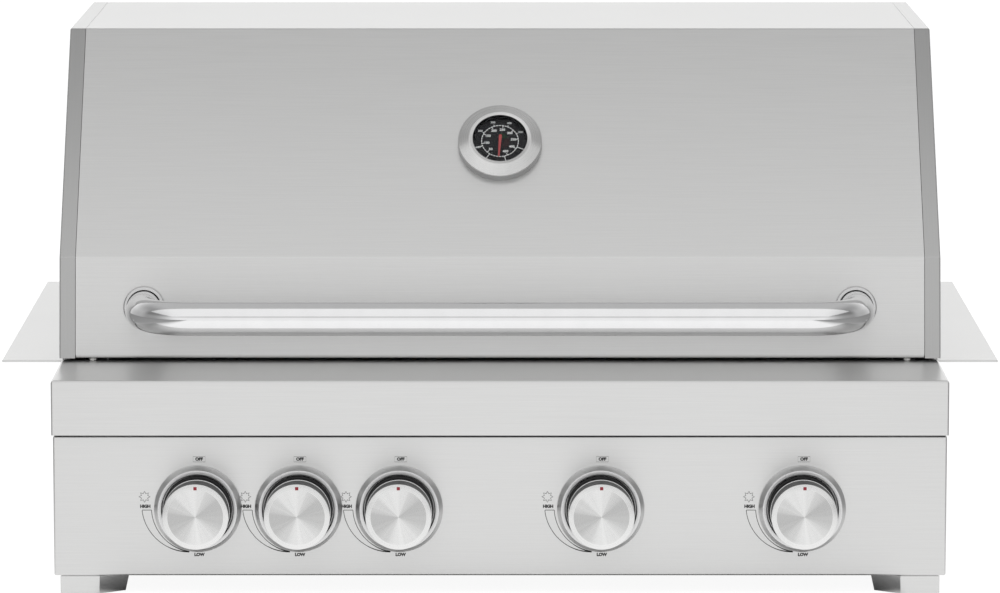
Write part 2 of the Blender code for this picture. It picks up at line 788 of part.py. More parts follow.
def knob_mesh():
    """A turned knob: dark collar, straight grip, bevelled edge, and a flatted blind bore behind."""
    back = BEZEL_FLOOR + GAP + KNOB_PUSH + GAP
    front = KNOB_STAND_OUT
    profile = [
        (0, back),
        (knob_collar_radius, back),
        (knob_collar_radius, back + KNOB_COLLAR_LENGTH),
        (KNOB_RADIUS - KNOB_TAPER, back + KNOB_COLLAR_LENGTH),
        (KNOB_RADIUS, front - KNOB_EDGE),
        (KNOB_RADIUS - KNOB_EDGE, front),
        (0, front),
    ]
    return turned(profile, ROUND_SIDES)


def knob(index, x):
    """A knob that turns with its stem and slides on it."""
    spot = (x, panel_front_y, knob_axis_z)
    piece = add_object("knob_%d" % index, knob_mesh(), polished_steel(), True, spot, math.pi / 2)
    bore = bmesh.new()
    section = [(x + u, knob_axis_z + v) for u, v in stem_section(STEM_RADIUS + GAP)]
    prism(bore, section, stem_tip_y - KNOB_PUSH - GAP, panel_front_y + OVERRUN, "y")
    cut(piece, bore, "bore")


def knob_bezel(index, x):
    """The dished ring that a knob stands in."""
    profile = [
        (BEZEL_HOLE_RADIUS, GAP),
        (bezel_radius, GAP),
        (bezel_radius, BEZEL_EDGE_HEIGHT),
        (bezel_rim_radius, BEZEL_HEIGHT),
        (bezel_mouth_radius, BEZEL_HEIGHT),
        (bezel_mouth_radius, BEZEL_FLOOR + GAP),
        (BEZEL_HOLE_RADIUS, BEZEL_FLOOR + GAP),
    ]
    bm = turned(profile, ROUND_SIDES, True)
    spot = (x, panel_front_y, knob_axis_z)
    add_object("knob_bezel_%d" % index, bm, polished_steel(), True, spot, math.pi / 2)


def gas_manifold():
    """The pipe under the valves, with an inlet that turns down and ends in a nut."""
    low_x = knob_xs[0] - MANIFOLD_OVERHANG
    high_x = knob_xs[-1] + MANIFOLD_OVERHANG
    bm = bmesh.new()
    rod(bm, MANIFOLD_RADIUS, low_x, high_x, "x", (manifold_y, manifold_z))
    pipe = add_object("gas_manifold", bm, plain_steel())
    inlet_x = high_x - MANIFOLD_RADIUS
    drop = bmesh.new()
    rod(drop, INLET_RADIUS, inlet_face_z + INLET_NUT_HEIGHT / 2, manifold_z, "z", (inlet_x, manifold_y))
    join(pipe, drop, "inlet")
    nut = bmesh.new()
    rod(nut, INLET_NUT_RADIUS, inlet_face_z, inlet_face_z + INLET_NUT_HEIGHT, "z", (inlet_x, manifold_y),
        INLET_NUT_SIDES)
    join(pipe, nut, "nut")


def grease_tray():
    """The shallow tray under the firebox, with a pull behind the rear panel."""
    half = side_inner_x - TRAY_SIDE_PLAY
    back_y = rear_panel_back_y + TRAY_TAIL
    bm = bmesh.new()
    box(bm, (-half, tray_front_y, tray_floor_z), (half, back_y, tray_top_z))
    tray = add_object("grease_tray", bm, plain_steel())
    hollow = bmesh.new()
    box(hollow, (SHEET - half, tray_front_y + SHEET, tray_floor_z + SHEET),
        (half - SHEET, back_y - SHEET, tray_top_z + OVERRUN))
    cut(tray, hollow, "hollow")
    pull = bmesh.new()
    path = [
        (back_y - SHEET / 2, tray_top_z),
        (back_y + TRAY_PULL_DEPTH, tray_top_z),
        (back_y + TRAY_PULL_DEPTH, tray_top_z - TRAY_PULL_DEPTH),
    ]
    prism(pull, folded(path, SHEET), -TRAY_PULL_WIDTH / 2, TRAY_PULL_WIDTH / 2, "x")
    join(tray, pull, "pull")


def hood_path():
    """The hood's outer face from front bottom to the end of its back, as (Y, Z)."""
    return [
        (hood_front_y, hood_bottom_z),
        (crease_y, crease_z),
        (hood_top_front_y, hood_top_front_z),
        (hood_back_y, hood_top_back_z),
        (hood_back_y, hood_back_bottom_z),
    ]


def lower_face_y(z):
    """Where the hood's lower face is at a height."""
    return hood_front_y + (z - hood_bottom_z) * LOWER_FACE_SETBACK / LOWER_FACE_RISE


def hood_shell():
    """The folded outer sheet between the end caps, with a hem under its front edge."""
    hem = (hood_front_y + HOOD_HEM_DEPTH, hood_bottom_z)
    bm = bmesh.new()
    prism(bm, folded([hem] + hood_path(), SHEET), -shell_half_width, shell_half_width, "x")
    shell = add_object("hood_shell", bm, brushed_steel())
    cut(shell, probe_hole(), "probe_hole")


def probe_hole():
    """The cutter for the thermometer's probe, through shell and liner."""
    bm = bmesh.new()
    rod(bm, GAUGE_PROBE_RADIUS + GAP, -GAUGE_PROBE_LENGTH, OVERRUN, "z", (0, 0))
    turn_onto_face(bm)
    return bm


def hood_liner():
    """The inner sheet, which stands on the hem and meets the hood's back."""
    inner = offset(hood_path(), LINER_SPACING)
    base = (inner[0][0], hood_bottom_z + SHEET + GAP)
    top = (hood_back_y - SHEET - GAP, inner[3][1])
    bm = bmesh.new()
    prism(bm, folded([base] + inner[1:3] + [top], LINER_SHEET), GAP - cap_inner_x, cap_inner_x - GAP, "x")
    liner = add_object("hood_liner", bm, plain_steel())
    cut(liner, probe_hole(), "probe_hole")


def hood_end_cap(side):
    """A pressed end of the hood: a side plate with a flange along the front, top and back."""
    path = hood_path()
    heel = [(hood_back_y, hood_bottom_z + CAP_HEEL_RISE), (hood_back_y - CAP_HEEL_RUN, hood_bottom_z)]
    bm = bmesh.new()
    prism(bm, path[:4] + heel, side * (cap_outer_x - CAP_FLANGE), side * cap_outer_x, "x")
    cap = add_object("hood_end_cap_" + side_name(side), bm, brushed_steel())
    inner = offset(path, SHEET)
    lean = LOWER_FACE_SETBACK / LOWER_FACE_RISE
    low_z = hood_bottom_z - OVERRUN
    low_y = inner[0][0] - (inner[0][1] - low_z) * lean
    outside_y = hood_back_y + OVERRUN
    outline = [(low_y, low_z)] + inner[1:] + [(outside_y, hood_back_bottom_z), (outside_y, low_z)]
    hollow = bmesh.new()
    prism(hollow, outline, side * (cap_outer_x - CAP_FLANGE - OVERRUN), side * cap_inner_x, "x")
    cut(cap, hollow, "hollow")
    hole = bmesh.new()
    centre = (pivot_y, pivot_z)
    rod(hole, PIN_RADIUS + GAP, side * (cap_inner_x - OVERRUN), side * (cap_outer_x + OVERRUN), "x", centre)
    cut(cap, hole, "pin_hole")


def hinge_pin(side):
    """A headed pin through the end cap and the wing."""
    head_start = cap_outer_x + GAP
    tail = wing_inner_x - PIN_TAIL
    profile = [
        (0, tail),
        (PIN_RADIUS, tail),
        (PIN_RADIUS, head_start),
        (PIN_HEAD_RADIUS, head_start),
        (PIN_HEAD_RADIUS, head_start + PIN_HEAD_LENGTH),
        (0, head_start + PIN_HEAD_LENGTH),
    ]
    bm = turned(profile, PLAIN_SIDES)
    pin = add_object("hinge_pin_" + side_name(side), bm, polished_steel(), True, (0, pivot_y, pivot_z))
    pin.rotation_euler = (0, side * math.pi / 2, 0)


def handle_path():
    """The centre line of the handle: out from the hood, round a bend, across, and back."""
    bar_y = lower_face_y(handle_z) - HANDLE_STANDOFF
    points = [(-handle_end_x, lower_face_y(handle_z))]
    for side in (-1, 1):
        centre = (side * (handle_end_x - HANDLE_BEND), bar_y + HANDLE_BEND)
        turns = range(BEND_STEPS + 1) if side < 0 else range(BEND_STEPS, -1, -1)
        for step in turns:
            angle = step * math.pi / 2 / BEND_STEPS
            x = centre[0] + side * HANDLE_BEND * math.cos(angle)
            points.append((x, centre[1] - HANDLE_BEND * math.sin(angle)))
    points.append((handle_end_x, lower_face_y(handle_z)))
    return points


def hood_handle():
    """A round tube swept along the handle's line, its ends cut to the hood's lower face."""
    radius = HANDLE_DIAMETER / 2
    points = [Vector((x, y, 0)) for x, y in handle_path()]
    bm = bmesh.new()
    rings = []
    for index, point in enumerate(points):
        before = points[max(index - 1, 0)]
        after = points[min(index + 1, len(points) - 1)]
        along = (after - before).normalized()
        across = Vector((along.y, -along.x, 0))
        at_end = index in (0, len(points) - 1)
        ring = []
        for u, v in circle(radius, PLAIN_SIDES):
            spot = point + across * u
            z = handle_z + v
            y = lower_face_y(z) - GAP if at_end else spot.y
            ring.append(bm.verts.new((spot.x, y, z)))
        rings.append(ring)
    for lower, upper in zip(rings, rings[1:]):
        for index in range(PLAIN_SIDES):
            bm.faces.new((lower[index - 1], lower[index], upper[index], upper[index - 1]))
    bm.faces.new(rings[0])
    bm.faces.new(rings[-1])
    add_object("hood_handle", bm, polished_steel(), True)


def handle_rosette(side):
    """The round collar where the handle meets the hood, sheared to lie on the sloping face."""
    hole = HANDLE_DIAMETER / 2 + GAP
    profile = [
        (hole, GAP),
        (rosette_radius, GAP),
        (rosette_radius, ROSETTE_THICKNESS - ROSETTE_EDGE),
        (rosette_radius - ROSETTE_EDGE, ROSETTE_THICKNESS),
        (hole, ROSETTE_THICKNESS),
    ]
    bm = turned(profile, ROUND_SIDES, True)
    for vert in bm.verts:
        z = handle_z + vert.co.y
        vert.co = (side * handle_end_x + vert.co.x, lower_face_y(z) - vert.co.z, z)
    add_object("handle_rosette_" + side_name(side), bm, polished_steel(), True)


def thermometer_case():
    """The gauge's case: a flared bezel on the hood and a probe that reaches inside."""
    profile = [
        (0, -GAUGE_PROBE_LENGTH),
        (GAUGE_PROBE_RADIUS, -GAUGE_PROBE_LENGTH),
        (GAUGE_PROBE_RADIUS, GAP),
        (GAUGE_RADIUS, GAP),
        (GAUGE_RADIUS, GAUGE_EDGE_HEIGHT),
        (GAUGE_MOUTH_RADIUS + GAUGE_RIM, gauge_height),
        (GAUGE_MOUTH_RADIUS, gauge_height),
        (GAUGE_MOUTH_RADIUS, GAUGE_DIAL_FLOOR),
        (0, GAUGE_DIAL_FLOOR),
    ]
    bm = turned(profile, FINE_SIDES)
    add_object("thermometer_case", bm, brushed_steel(), True, gauge_centre, gauge_tilt)


def thermometer_dial():
    """The printed disc, on the floor of the case."""
    radius = GAUGE_MOUTH_RADIUS - GAP
    bm = turned([(0, dial_low), (radius, dial_low), (radius, dial_high), (0, dial_high)], ROUND_SIDES)
    add_object("thermometer_dial", bm, dial_black(), True, gauge_centre, gauge_tilt)


def thermometer_pointer():
    """The needle and its hub, just clear of the dial."""
    high = pointer_low + POINTER_THICKNESS
    half = POINTER_WIDTH / 2
    tip = half / 2
    bm = bmesh.new()
    outline = [(-half, -POINTER_TAIL), (half, -POINTER_TAIL), (tip, POINTER_LENGTH), (-tip, POINTER_LENGTH)]
    prism(bm, outline, pointer_low, high, "z")
    rest = math.radians(POINTER_REST_DEG)
    bmesh.ops.rotate(bm, verts=bm.verts, cent=(0, 0, 0), matrix=Matrix.Rotation(-rest, 3, "Z"))
    pointer = add_object("thermometer_pointer", bm, pointer_red(), False, gauge_centre, gauge_tilt)
    hub = bmesh.new()
    rod(hub, POINTER_HUB_RADIUS, pointer_low, hub_high, "z", (0, 0))
    turn_onto_face(hub)
    join(pointer, hub, "hub")


def turn_onto_face(bm):
    """Move a shape from the gauge's own axes to its place on the hood."""
    turn = Matrix.Rotation(gauge_tilt, 3, "X")
    bmesh.ops.rotate(bm, verts=bm.verts, cent=(0, 0, 0), matrix=turn)
    bmesh.ops.translate(bm, verts=bm.verts, vec=gauge_centre)


def thermometer_lens():
    """The glass, just below the bezel's rim."""
    radius = GAUGE_MOUTH_RADIUS - GAP
    bm = turned([(0, lens_low), (radius, lens_low), (radius, lens_high), (0, lens_high)], ROUND_SIDES)
    add_object("thermometer_lens", bm, clear_glass(), True, gauge_centre, gauge_tilt)


def build_body():
    front_ledge()
    control_panel()
    rear_panel()
    counter_flange()
    firebox()
    for side in (-1, 1):
        side_panel(side)
        hinge_pin(side)
        foot(side, True)
        foot(side, False)
    cooking_grates()
    warming_rack()
    rear_burner()
    for index, x in enumerate(burner_xs, 1):
        burner(index, x)
        flame_tamer(index, x)
    grease_tray()


def build_controls():
    gas_manifold()
    for index, x in enumerate(knob_xs, 1):
        valve_body(index, x)
        valve_stem(index, x)
        knob_bezel(index, x)
        knob(index, x)


def build_hood():
    """The hood's pieces, carried by an empty on the hinge's axis."""
    before = set(bpy.data.objects)
    hood_shell()
    hood_liner()
    hood_handle()
    for side in (-1, 1):
        hood_end_cap(side)
        handle_rosette(side)
    thermometer_case()
    thermometer_dial()
    thermometer_pointer()
    thermometer_lens()
    pieces = [item for item in bpy.data.objects if item not in before]
    axis = bpy.data.objects.new("hood_axis", None)
    axis.location = (0, pivot_y, pivot_z)
    bpy.context.scene.collection.objects.link(axis)
    for piece in pieces:
        piece.parent = axis
        piece.matrix_parent_inverse = Matrix.Translation(axis.location).inverted()


def main():
    clear_scene()
    build_body()
    build_controls()
    build_hood()


main()
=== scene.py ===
"""The looks of a built-in gas grill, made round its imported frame.

Metres, in the frame's own axes: +X is the cook's right, +Y points away from the cook, +Z is up.
"""

import json
import math

import bmesh
import bpy
from mathutils import Matrix, Vector

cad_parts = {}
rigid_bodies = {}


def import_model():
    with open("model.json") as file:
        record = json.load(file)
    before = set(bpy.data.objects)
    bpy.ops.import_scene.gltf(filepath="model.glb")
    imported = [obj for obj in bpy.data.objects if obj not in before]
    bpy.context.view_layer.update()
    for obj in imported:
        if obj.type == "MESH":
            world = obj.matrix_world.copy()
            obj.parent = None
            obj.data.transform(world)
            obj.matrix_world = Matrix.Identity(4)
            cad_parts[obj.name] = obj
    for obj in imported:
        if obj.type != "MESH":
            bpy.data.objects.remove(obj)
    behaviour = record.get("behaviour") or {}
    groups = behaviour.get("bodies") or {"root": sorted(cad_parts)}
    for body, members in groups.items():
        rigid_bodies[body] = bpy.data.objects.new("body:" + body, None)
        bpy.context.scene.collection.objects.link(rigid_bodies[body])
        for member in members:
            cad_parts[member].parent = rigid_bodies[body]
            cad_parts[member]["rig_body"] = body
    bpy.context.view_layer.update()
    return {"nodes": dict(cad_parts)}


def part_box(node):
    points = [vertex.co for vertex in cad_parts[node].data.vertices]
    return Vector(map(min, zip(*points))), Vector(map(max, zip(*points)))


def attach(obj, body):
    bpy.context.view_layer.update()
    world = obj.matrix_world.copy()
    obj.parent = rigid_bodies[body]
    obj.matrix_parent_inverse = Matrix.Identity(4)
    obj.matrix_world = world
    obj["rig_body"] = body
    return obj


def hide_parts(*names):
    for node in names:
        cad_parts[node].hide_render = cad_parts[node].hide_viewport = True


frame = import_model()

# Camera: a long lens a little above the ledge, looking down on it
CAMERA_PLACE = (0, -5.2296, 0.97082)
CAMERA_PITCH_DEG = 8.095
CAMERA_LENS = 201.6
CAMERA_SENSOR = 36.0

# Sheet metal
SHEET = 0.0015
BEND_RADIUS = 0.0028
BEND_STEPS = 6
FOLD_RADIUS = 0.0014
RIM_WIDTH = 0.00035
SHELL_EDGE = 0.0006
SMOOTH_BELOW_DEG = 32
BLEND_BELOW_DEG = 38
FLAT_BELOW_DEG = 1
BEND_OVER_DEG = 25
MERGE_BELOW = 0.000001
RIM_STEPS = 3
LEDGE_SIDE_BEND = 0.0026
LEDGE_FRONT_BEND = 0.0024
PANEL_BEND = 0.0016

# How much higher than in the CAD the two edges of the seam under the ledge are drawn
PANEL_RISE = 0.0016
LEDGE_RISE = 0.0005

# The folds of the hood, from its front bottom edge
LOWER_FACE_RISE = 0.091
LOWER_FACE_SETBACK = 0.014
UPPER_FACE_RISE = 0.194
UPPER_FACE_RUN = 0.158
HOOD_TOP_FALL = 0.002
HOOD_BACK_OPENING = 0.074
HOOD_HEM_DEPTH = 0.014

# Handle
HANDLE_BEND = 0.046
HANDLE_SIDES = 48
HANDLE_BEND_STEPS = 20
ROSETTE_THICKNESS = 0.006
ROSETTE_ROUND = 0.0016
ROSETTE_LIP = 0.0004

# Gauge: radii, and heights over the upper face
DIAL_CENTRE_UP_FACE = 0.121
GAUGE_RADIUS = 0.0385
GAUGE_EDGE = 0.0084
GAUGE_CREST = 0.0286
GAUGE_CREST_ROUND = 0.0028
GAUGE_EDGE_ROUND = 0.0008
GAUGE_LIP_ROUND = 0.0001
GAUGE_HEIGHT = 0.0126
GAUGE_MOUTH = 0.0252
GAUGE_WELL = 0.0256
GAUGE_FLOOR = 0.0056
GAUGE_DIAL_TOP = 0.0069
GAUGE_CUP = 0.0006
GAUGE_LENS_LOW = 0.0108
GAUGE_LENS_TOP = 0.0120
GAUGE_PROBE = 0.0040
GAUGE_PROBE_LENGTH = 0.060
POINTER_LENGTH = 0.0171
POINTER_TAIL = 0.0068
POINTER_TAIL_WIDTH = 0.0028
POINTER_TIP_WIDTH = 0.0014
POINTER_LOW = 0.0072
POINTER_THICKNESS = 0.0006
POINTER_REST_DEG = 184.0
SCALE_RADIUS = 0.0169
SCALE_WIDTH = 0.0008
SCALE_DASHES = 40
SCALE_DASH = 0.0014
SCALE_LINE = 0.0002
SCALE_START = 224.0
SCALE_STEP = 36.5
INNER_NUMBERS = 0.0124
OUTER_NUMBERS = 0.0212
OUTER_NUMBER_DEGS = (251, 301, 342, 24, 63)
LONG_TICK_DEGS = (166, 214, 252, 113)
COLOUR_ARC = 0.0062
COLOUR_WIDTH = 0.0050
GREEN_DEGS = (-5, 60)
RED_DEGS = (62, 150)

# On the dial: each text's size and boldness, and each tick's length and width
INNER_TEXT = (0.0034, 0.00008)
OUTER_TEXT = (0.0029, 0.00003)
INNER_TICK = (0.0022, 0.0006)
OUTER_TICK = (0.0017, 0.0005)

# Knobs: radii, and heights over the panel
KNOB_RADIUS = 0.0294
KNOB_FRONT = 0.0448
KNOB_RIM = 0.0047
KNOB_RIM_FALL = 0.0009
KNOB_RIM_ROUNDS = (0.0001, 0.0004)
KNOB_BAND_ROUND = 0.0003
KNOB_SKIRT_ROUND = 0.0005
KNOB_FACE_BACK = 0.0432
KNOB_BAND_TOP = 0.0206
KNOB_BAND_LOW = 0.0186
KNOB_GROOVE = 0.0004
KNOB_TAPER = 0.0012
KNOB_COLLAR = 0.0306
KNOB_COLLAR_FRONT = 0.0066
KNOB_BACK = 0.0052
KNOB_BORE = 0.0050
KNOB_BORE_TOP = 0.0214
KNOB_MARK = 0.0029
KNOB_MARK_RISE = 0.0258

# Bezels: radii, and heights over the panel
BEZEL_RADIUS = 0.0390
BEZEL_EDGE = 0.0036
BEZEL_HEIGHT = 0.0094
BEZEL_FLOOR = 0.0018
BEZEL_HOLE = 0.0070
BEAD_OUTER = 0.0356
BEAD_INNER = 0.0316
BEAD_EDGE = 0.0010

# Print on the panel, about each knob's axis
LABEL_SIZE = 0.0038
LABEL_BOLD = 0.00026
OFF_SPOT = (0.0014, 0.0446)
OFF_FRAME = (0.0108, 0.0048)
LOW_SPOT = (0.0010, -0.0420)
HIGH_SPOT = (-0.0470, 0.0018)
FLAME_SPOT = (-0.0476, 0.0106)
FLAME_RADIUS = 0.0050
BAND_TOP = -0.0015
BAND_OUTER = 0.0499
BAND_INNER = 0.0415
BAND_TIP = 0.0401
BAND_DEGS = (268, 191.5)
BAND_STEPS = 40
THIN_LINE = 0.00055
THICK_LINE = 0.0012
PRINT_THICKNESS = 0.00004

# Bumpers under the hood's front edge
BUMPER_REACH = 0.3705
BUMPER_SETBACK = 0.006
BUMPER_RADIUS = 0.0035
BUMPER_HEIGHT = 0.0024

# Grates and rack
GRATE_BAR = 0.0075
GRATE_BAR_COUNT = 12
RACK_ROD_COUNT = 8
RACK_SIDE_BAR = 0.010

# Hinge pins
PIN_RADIUS = 0.0040
PIN_HEAD = 0.0025
PIN_ROUNDS = (0.0005, 0.0002, 0.0004)

# Rear burner's tile and guard
REAR_BORDER = 0.009
REAR_RECESS = 0.006
REAR_TILE = 0.003
GUARD_WIRE = 0.0008
GUARD_WIRE_COUNT = 20

# Studio
FLOOR_REACH = 30.0
FLOOR_THICKNESS = 0.02
FLOOR_GREY = 0.25
FLOOR_GLOW = 0.93
FLOOR_MIRRORED = 0.78
FLOOR_SIDES = 0.15
FLOOR_SIDE_NEAR = 0.45
FLOOR_SIDE_FAR = 0.80
FLOOR_OPENING = 0.12
SHADE_HALF = (0.350, 0.335)
SHADE_FADE = 0.015
SKY_FRONT_LOW = 0.93
SKY_BACK_LOW = 1.30
SKY_HIGH = 0.50
SKY_SIDES = 0.34
SKY_PLAIN = 0.55

# Between which parts of a direction of length one the sky's tones change
SKY_FRONT_SPAN = (0.17, 0.45)
SKY_BACK_SPAN = (0.32, 0.75)
SKY_BEHIND_SPAN = (-0.15, 0.15)
SKY_SIDE_SPAN = (0.35, 1.0)

# Soft lights: name, place, what each points at, size, radiance and whether metal shows it
SOFTBOXES = (
    ("key_box", (-1.2, -2.4, 2.6), (0, 0, 0.2), (1.6, 1.2), 1.6, False),
    ("fill_box", (1.8, -2.0, 1.8), (0, 0, 0.2), (1.6, 1.2), 0.7, False),
    ("back_box", (0, 2.4, 2.4), (0, 0, 0.2), (2.4, 1.2), 0.6, False),
    ("overhead_card", (0, -1.56, 1.35), (0, -1.56, 0), (4.0, 2.28), 0.42, True),
)

# Small fits
GAP = 0.0003
PRINT_LIFT = 0.00005
FINE_SIDES = 96

hood_low, hood_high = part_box("hood_shell")
crease_y = hood_low.y + LOWER_FACE_SETBACK
crease_z = hood_low.z + LOWER_FACE_RISE
hood_top_front_y = crease_y + UPPER_FACE_RUN
upper_face = Vector((0, UPPER_FACE_RUN, UPPER_FACE_RISE)).normalized()
gauge_centre = Vector((0, crease_y, crease_z)) + upper_face * DIAL_CENTRE_UP_FACE
gauge_tilt = math.atan2(UPPER_FACE_RISE, UPPER_FACE_RUN)
panel_front_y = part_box("control_panel")[0].y


# Building materials

NOISE_SPAN = (0.25, 0.75)
LATHE_RINGS = 2600.0


def add_node(material, kind, values=None, **settings):
    """A shader node; values sets its sockets by name or number, from a number or another node's socket."""
    made = material.node_tree.nodes.new("ShaderNode" + kind)
    for key, value in settings.items():
        setattr(made, key, value)
    for key, value in (values or {}).items():
        if isinstance(value, bpy.types.NodeSocket):
            material.node_tree.links.new(value, made.inputs[key])
        else:
            made.inputs[key].default_value = value
    return made


def maths(material, operation, *values):
    """What an operation makes of numbers or sockets."""
    return add_node(material, "Math", dict(enumerate(values)), operation=operation).outputs[0]


def vectors(material, operation, *values, output=0):
    """What an operation makes of vectors or sockets."""
    return add_node(material, "VectorMath", dict(enumerate(values)), operation=operation).outputs[output]


def mapped(material, value, start, end, first, last, **settings):
    """Put a value between first and last, as it goes from start to end."""
    places = {"Value": value, "From Min": start, "From Max": end, "To Min": first, "To Max": last}
    return add_node(material, "MapRange", places, **settings).outputs[0]


def new_material(name, colour, roughness, metallic=1.0):
    made = bpy.data.materials.new(name)
    made.use_nodes = True
    shader = made.node_tree.nodes["Principled BSDF"]
    shader.inputs["Base Color"].default_value = (*colour, 1)
    shader.inputs["Roughness"].default_value = roughness
    shader.inputs["Metallic"].default_value = metallic
    made.diffuse_color = (*colour, 1)
    return made, shader


def feed(shader, name, output):
    """Link an output to the shader's input of that name."""
    shader.id_data.links.new(output, shader.inputs[name])


def grain(material, stretch, detail=3.0):
    """Noise in the piece's own axes, stretched by cycles per metre along each one."""
    spot = add_node(material, "TexCoord")
    scaled = vectors(material, "MULTIPLY", spot.outputs["Object"], stretch)
    sizes = {"Vector": scaled, "Scale": 1.0, "Detail": detail, "Roughness": 0.6}
    return add_node(material, "TexNoise", sizes).outputs["Fac"]


def spread(material, fac, low, high):
    """Map noise onto a range of numbers."""
    return mapped(material, fac, *NOISE_SPAN, low, high)


def shade(colour, factor):
    return tuple(channel * factor for channel in colour)


def tones(material, fac, colour, dark, light):
    """Map noise onto a run of the colour's tones, from its dark share to its light one."""
    ramp = add_node(material, "ValToRGB", {"Fac": fac})
    for element, spot, factor in zip(ramp.color_ramp.elements, NOISE_SPAN, (dark, light)):
        element.position = spot
        element.color = (*shade(colour, factor), 1)
    return ramp.outputs["Color"]


def vary(material, shader, fac, colour, uneven, low, high):
    """Let noise shade the colour by an uneven share, and run the roughness from low to high."""
    feed(shader, "Base Color", tones(material, fac, colour, 1 - uneven, 1 + uneven))
    feed(shader, "Roughness", spread(material, fac, low, high))


def raise_grain(material, shader, fac, strength, depth):
    bump = add_node(material, "Bump", {"Height": fac, "Strength": strength, "Distance": depth})
    feed(shader, "Normal", bump.outputs["Normal"])


def to_world(material, vector):
    """A direction in the piece's own axes, turned into the world's."""
    return add_node(material, "VectorTransform", {0: vector}, vector_type="VECTOR", convert_from="OBJECT",
                    convert_to="WORLD").outputs[0]


def brushed(name, colour, roughness, stretch, across, anisotropy=0.55, uneven=0.03):
    """Steel brushed one way. Across is the direction over the grain, in the piece's own axes."""
    made, shader = new_material(name, colour, roughness)
    fac = grain(made, stretch)
    vary(made, shader, fac, colour, uneven, roughness - 0.04, roughness + 0.04)
    raise_grain(made, shader, fac, 0.12, 0.0002)
    shader.inputs["Anisotropic"].default_value = anisotropy
    face = add_node(made, "NewGeometry")
    along = vectors(made, "CROSS_PRODUCT", face.outputs["True Normal"], to_world(made, across))
    feed(shader, "Tangent", vectors(made, "ADD", along, STEADY_TANGENT))
    return made


def turned_finish(name, colour, roughness, anisotropy, uneven=0.04, painted_wedge_shade=0.0, lean_deg=0.0):
    """Metal finished on a lathe: rings about its own Z axis, and painted shade in spokes, a share of the
    colour taken out in wedges that stand in for the dark reflections of a turned face.
    """
    made, shader = new_material(name, colour, roughness)
    spot = add_node(made, "TexCoord")
    flat = vectors(made, "MULTIPLY", spot.outputs["Object"], (1, 1, 0))
    rings = maths(made, "MULTIPLY", vectors(made, "LENGTH", flat, output="Value"), LATHE_RINGS)
    noise = add_node(made, "TexNoise", {"W": rings, "Scale": 1.0, "Detail": 2.0}, noise_dimensions="1D")
    fac = noise.outputs["Fac"]
    toned = tones(made, fac, colour, 1 - uneven, 1 + uneven)
    # Painted shade: the colour is darkened along two opposite spokes, tilted by lean_deg, and by noise round
    # the face, in place of the dark wedges that a turned face mirrors.
    spoke = vectors(made, "NORMALIZE", flat)
    spoke_shade_noise = add_node(made, "TexNoise", {"Vector": spoke, "Scale": 2.6, "Detail": 5.0})
    lean = math.radians(lean_deg)
    along = vectors(made, "DOT_PRODUCT", spoke, (math.cos(lean), math.sin(lean), 0), output="Value")
    both = maths(made, "ADD", maths(made, "MULTIPLY", along, along), spoke_shade_noise.outputs["Fac"])
    factor = mapped(made, both, 0.3, 1.5, 1.0, 1.0 - painted_wedge_shade)
    painted_wedge_colour = add_node(made, "VectorMath", {0: toned, "Scale": factor}, operation="SCALE")
    feed(shader, "Base Color", painted_wedge_colour.outputs[0])
    feed(shader, "Roughness", spread(made, fac, roughness - 0.03, roughness + 0.03))
    raise_grain(made, shader, fac, 0.10, 0.0001)
    shader.inputs["Anisotropic"].default_value = anisotropy
    feed(shader, "Tangent", to_world(made, flat))
    return made


def smooth_metal(name, colour, roughness, uneven=0.02):
    """Polished or mill-finish metal with faint, broad unevenness."""
    made, shader = new_material(name, colour, roughness)
    fac = grain(made, (60.0, 60.0, 60.0), 4.0)
    vary(made, shader, fac, colour, uneven, roughness * 0.85, roughness * 1.15)
    return made


def rolled_steel(name, colour, roughness):
    """Plain sheet with the cloudy grain of rolled, heat-treated steel."""
    made, shader = new_material(name, colour, roughness)
    clouds = grain(made, (35.0, 35.0, 35.0), 5.0)
    streaks = grain(made, (18.0, 700.0, 700.0))
    fac = maths(made, "MULTIPLY", maths(made, "ADD", clouds, streaks), 0.5)
    feed(shader, "Base Color", tones(made, fac, colour, 0.86, 1.1))
    feed(shader, "Roughness", spread(made, clouds, roughness - 0.08, roughness + 0.08))
    raise_grain(made, shader, streaks, 0.10, 0.0002)
    return made


def painted(name, colour, roughness, uneven=0.12, specular=0.5):
    """Printing ink, paint or moulded plastic with a fine, uneven surface."""
    made, shader = new_material(name, colour, roughness, 0.0)
    shader.inputs["Specular IOR Level"].default_value = specular
    fac = grain(made, (400.0, 400.0, 400.0))
    vary(made, shader, fac, colour, uneven, roughness - 0.05, roughness + 0.05)
    raise_grain(made, shader, fac, 0.08, 0.0001)
    return made


def glass(name):
    """Thin, coated glass that mirrors little."""
    made, shader = new_material(name, (0.98, 0.99, 0.99), 0.02, 0.0)
    feed(shader, "Roughness", spread(made, grain(made, (90.0, 90.0, 90.0)), 0.01, 0.04))
    shader.inputs["Transmission Weight"].default_value = 1.0
    shader.inputs["IOR"].default_value = 1.12
    return made


def ceramic(name, colour):
    """A fired tile pierced with fine flame holes, which are bumped in and drawn darker with painted shade."""
    made, shader = new_material(name, colour, 0.85, 0.0)
    spot = add_node(made, "TexCoord")
    cells = add_node(made, "TexVoronoi", {"Vector": spot.outputs["Object"], "Scale": 420.0})
    holes = mapped(made, cells.outputs["Distance"], 0.18, 0.34, 0.0, 1.0)
    # Painted shade: the tile's colour falls to 0.35 in its holes, where shade would fall.
    feed(shader, "Base Color", tones(made, holes, colour, 0.35, 1))
    raise_grain(made, shader, holes, 0.6, 0.0006)
    return made


STEEL = (0.74, 0.74, 0.735)
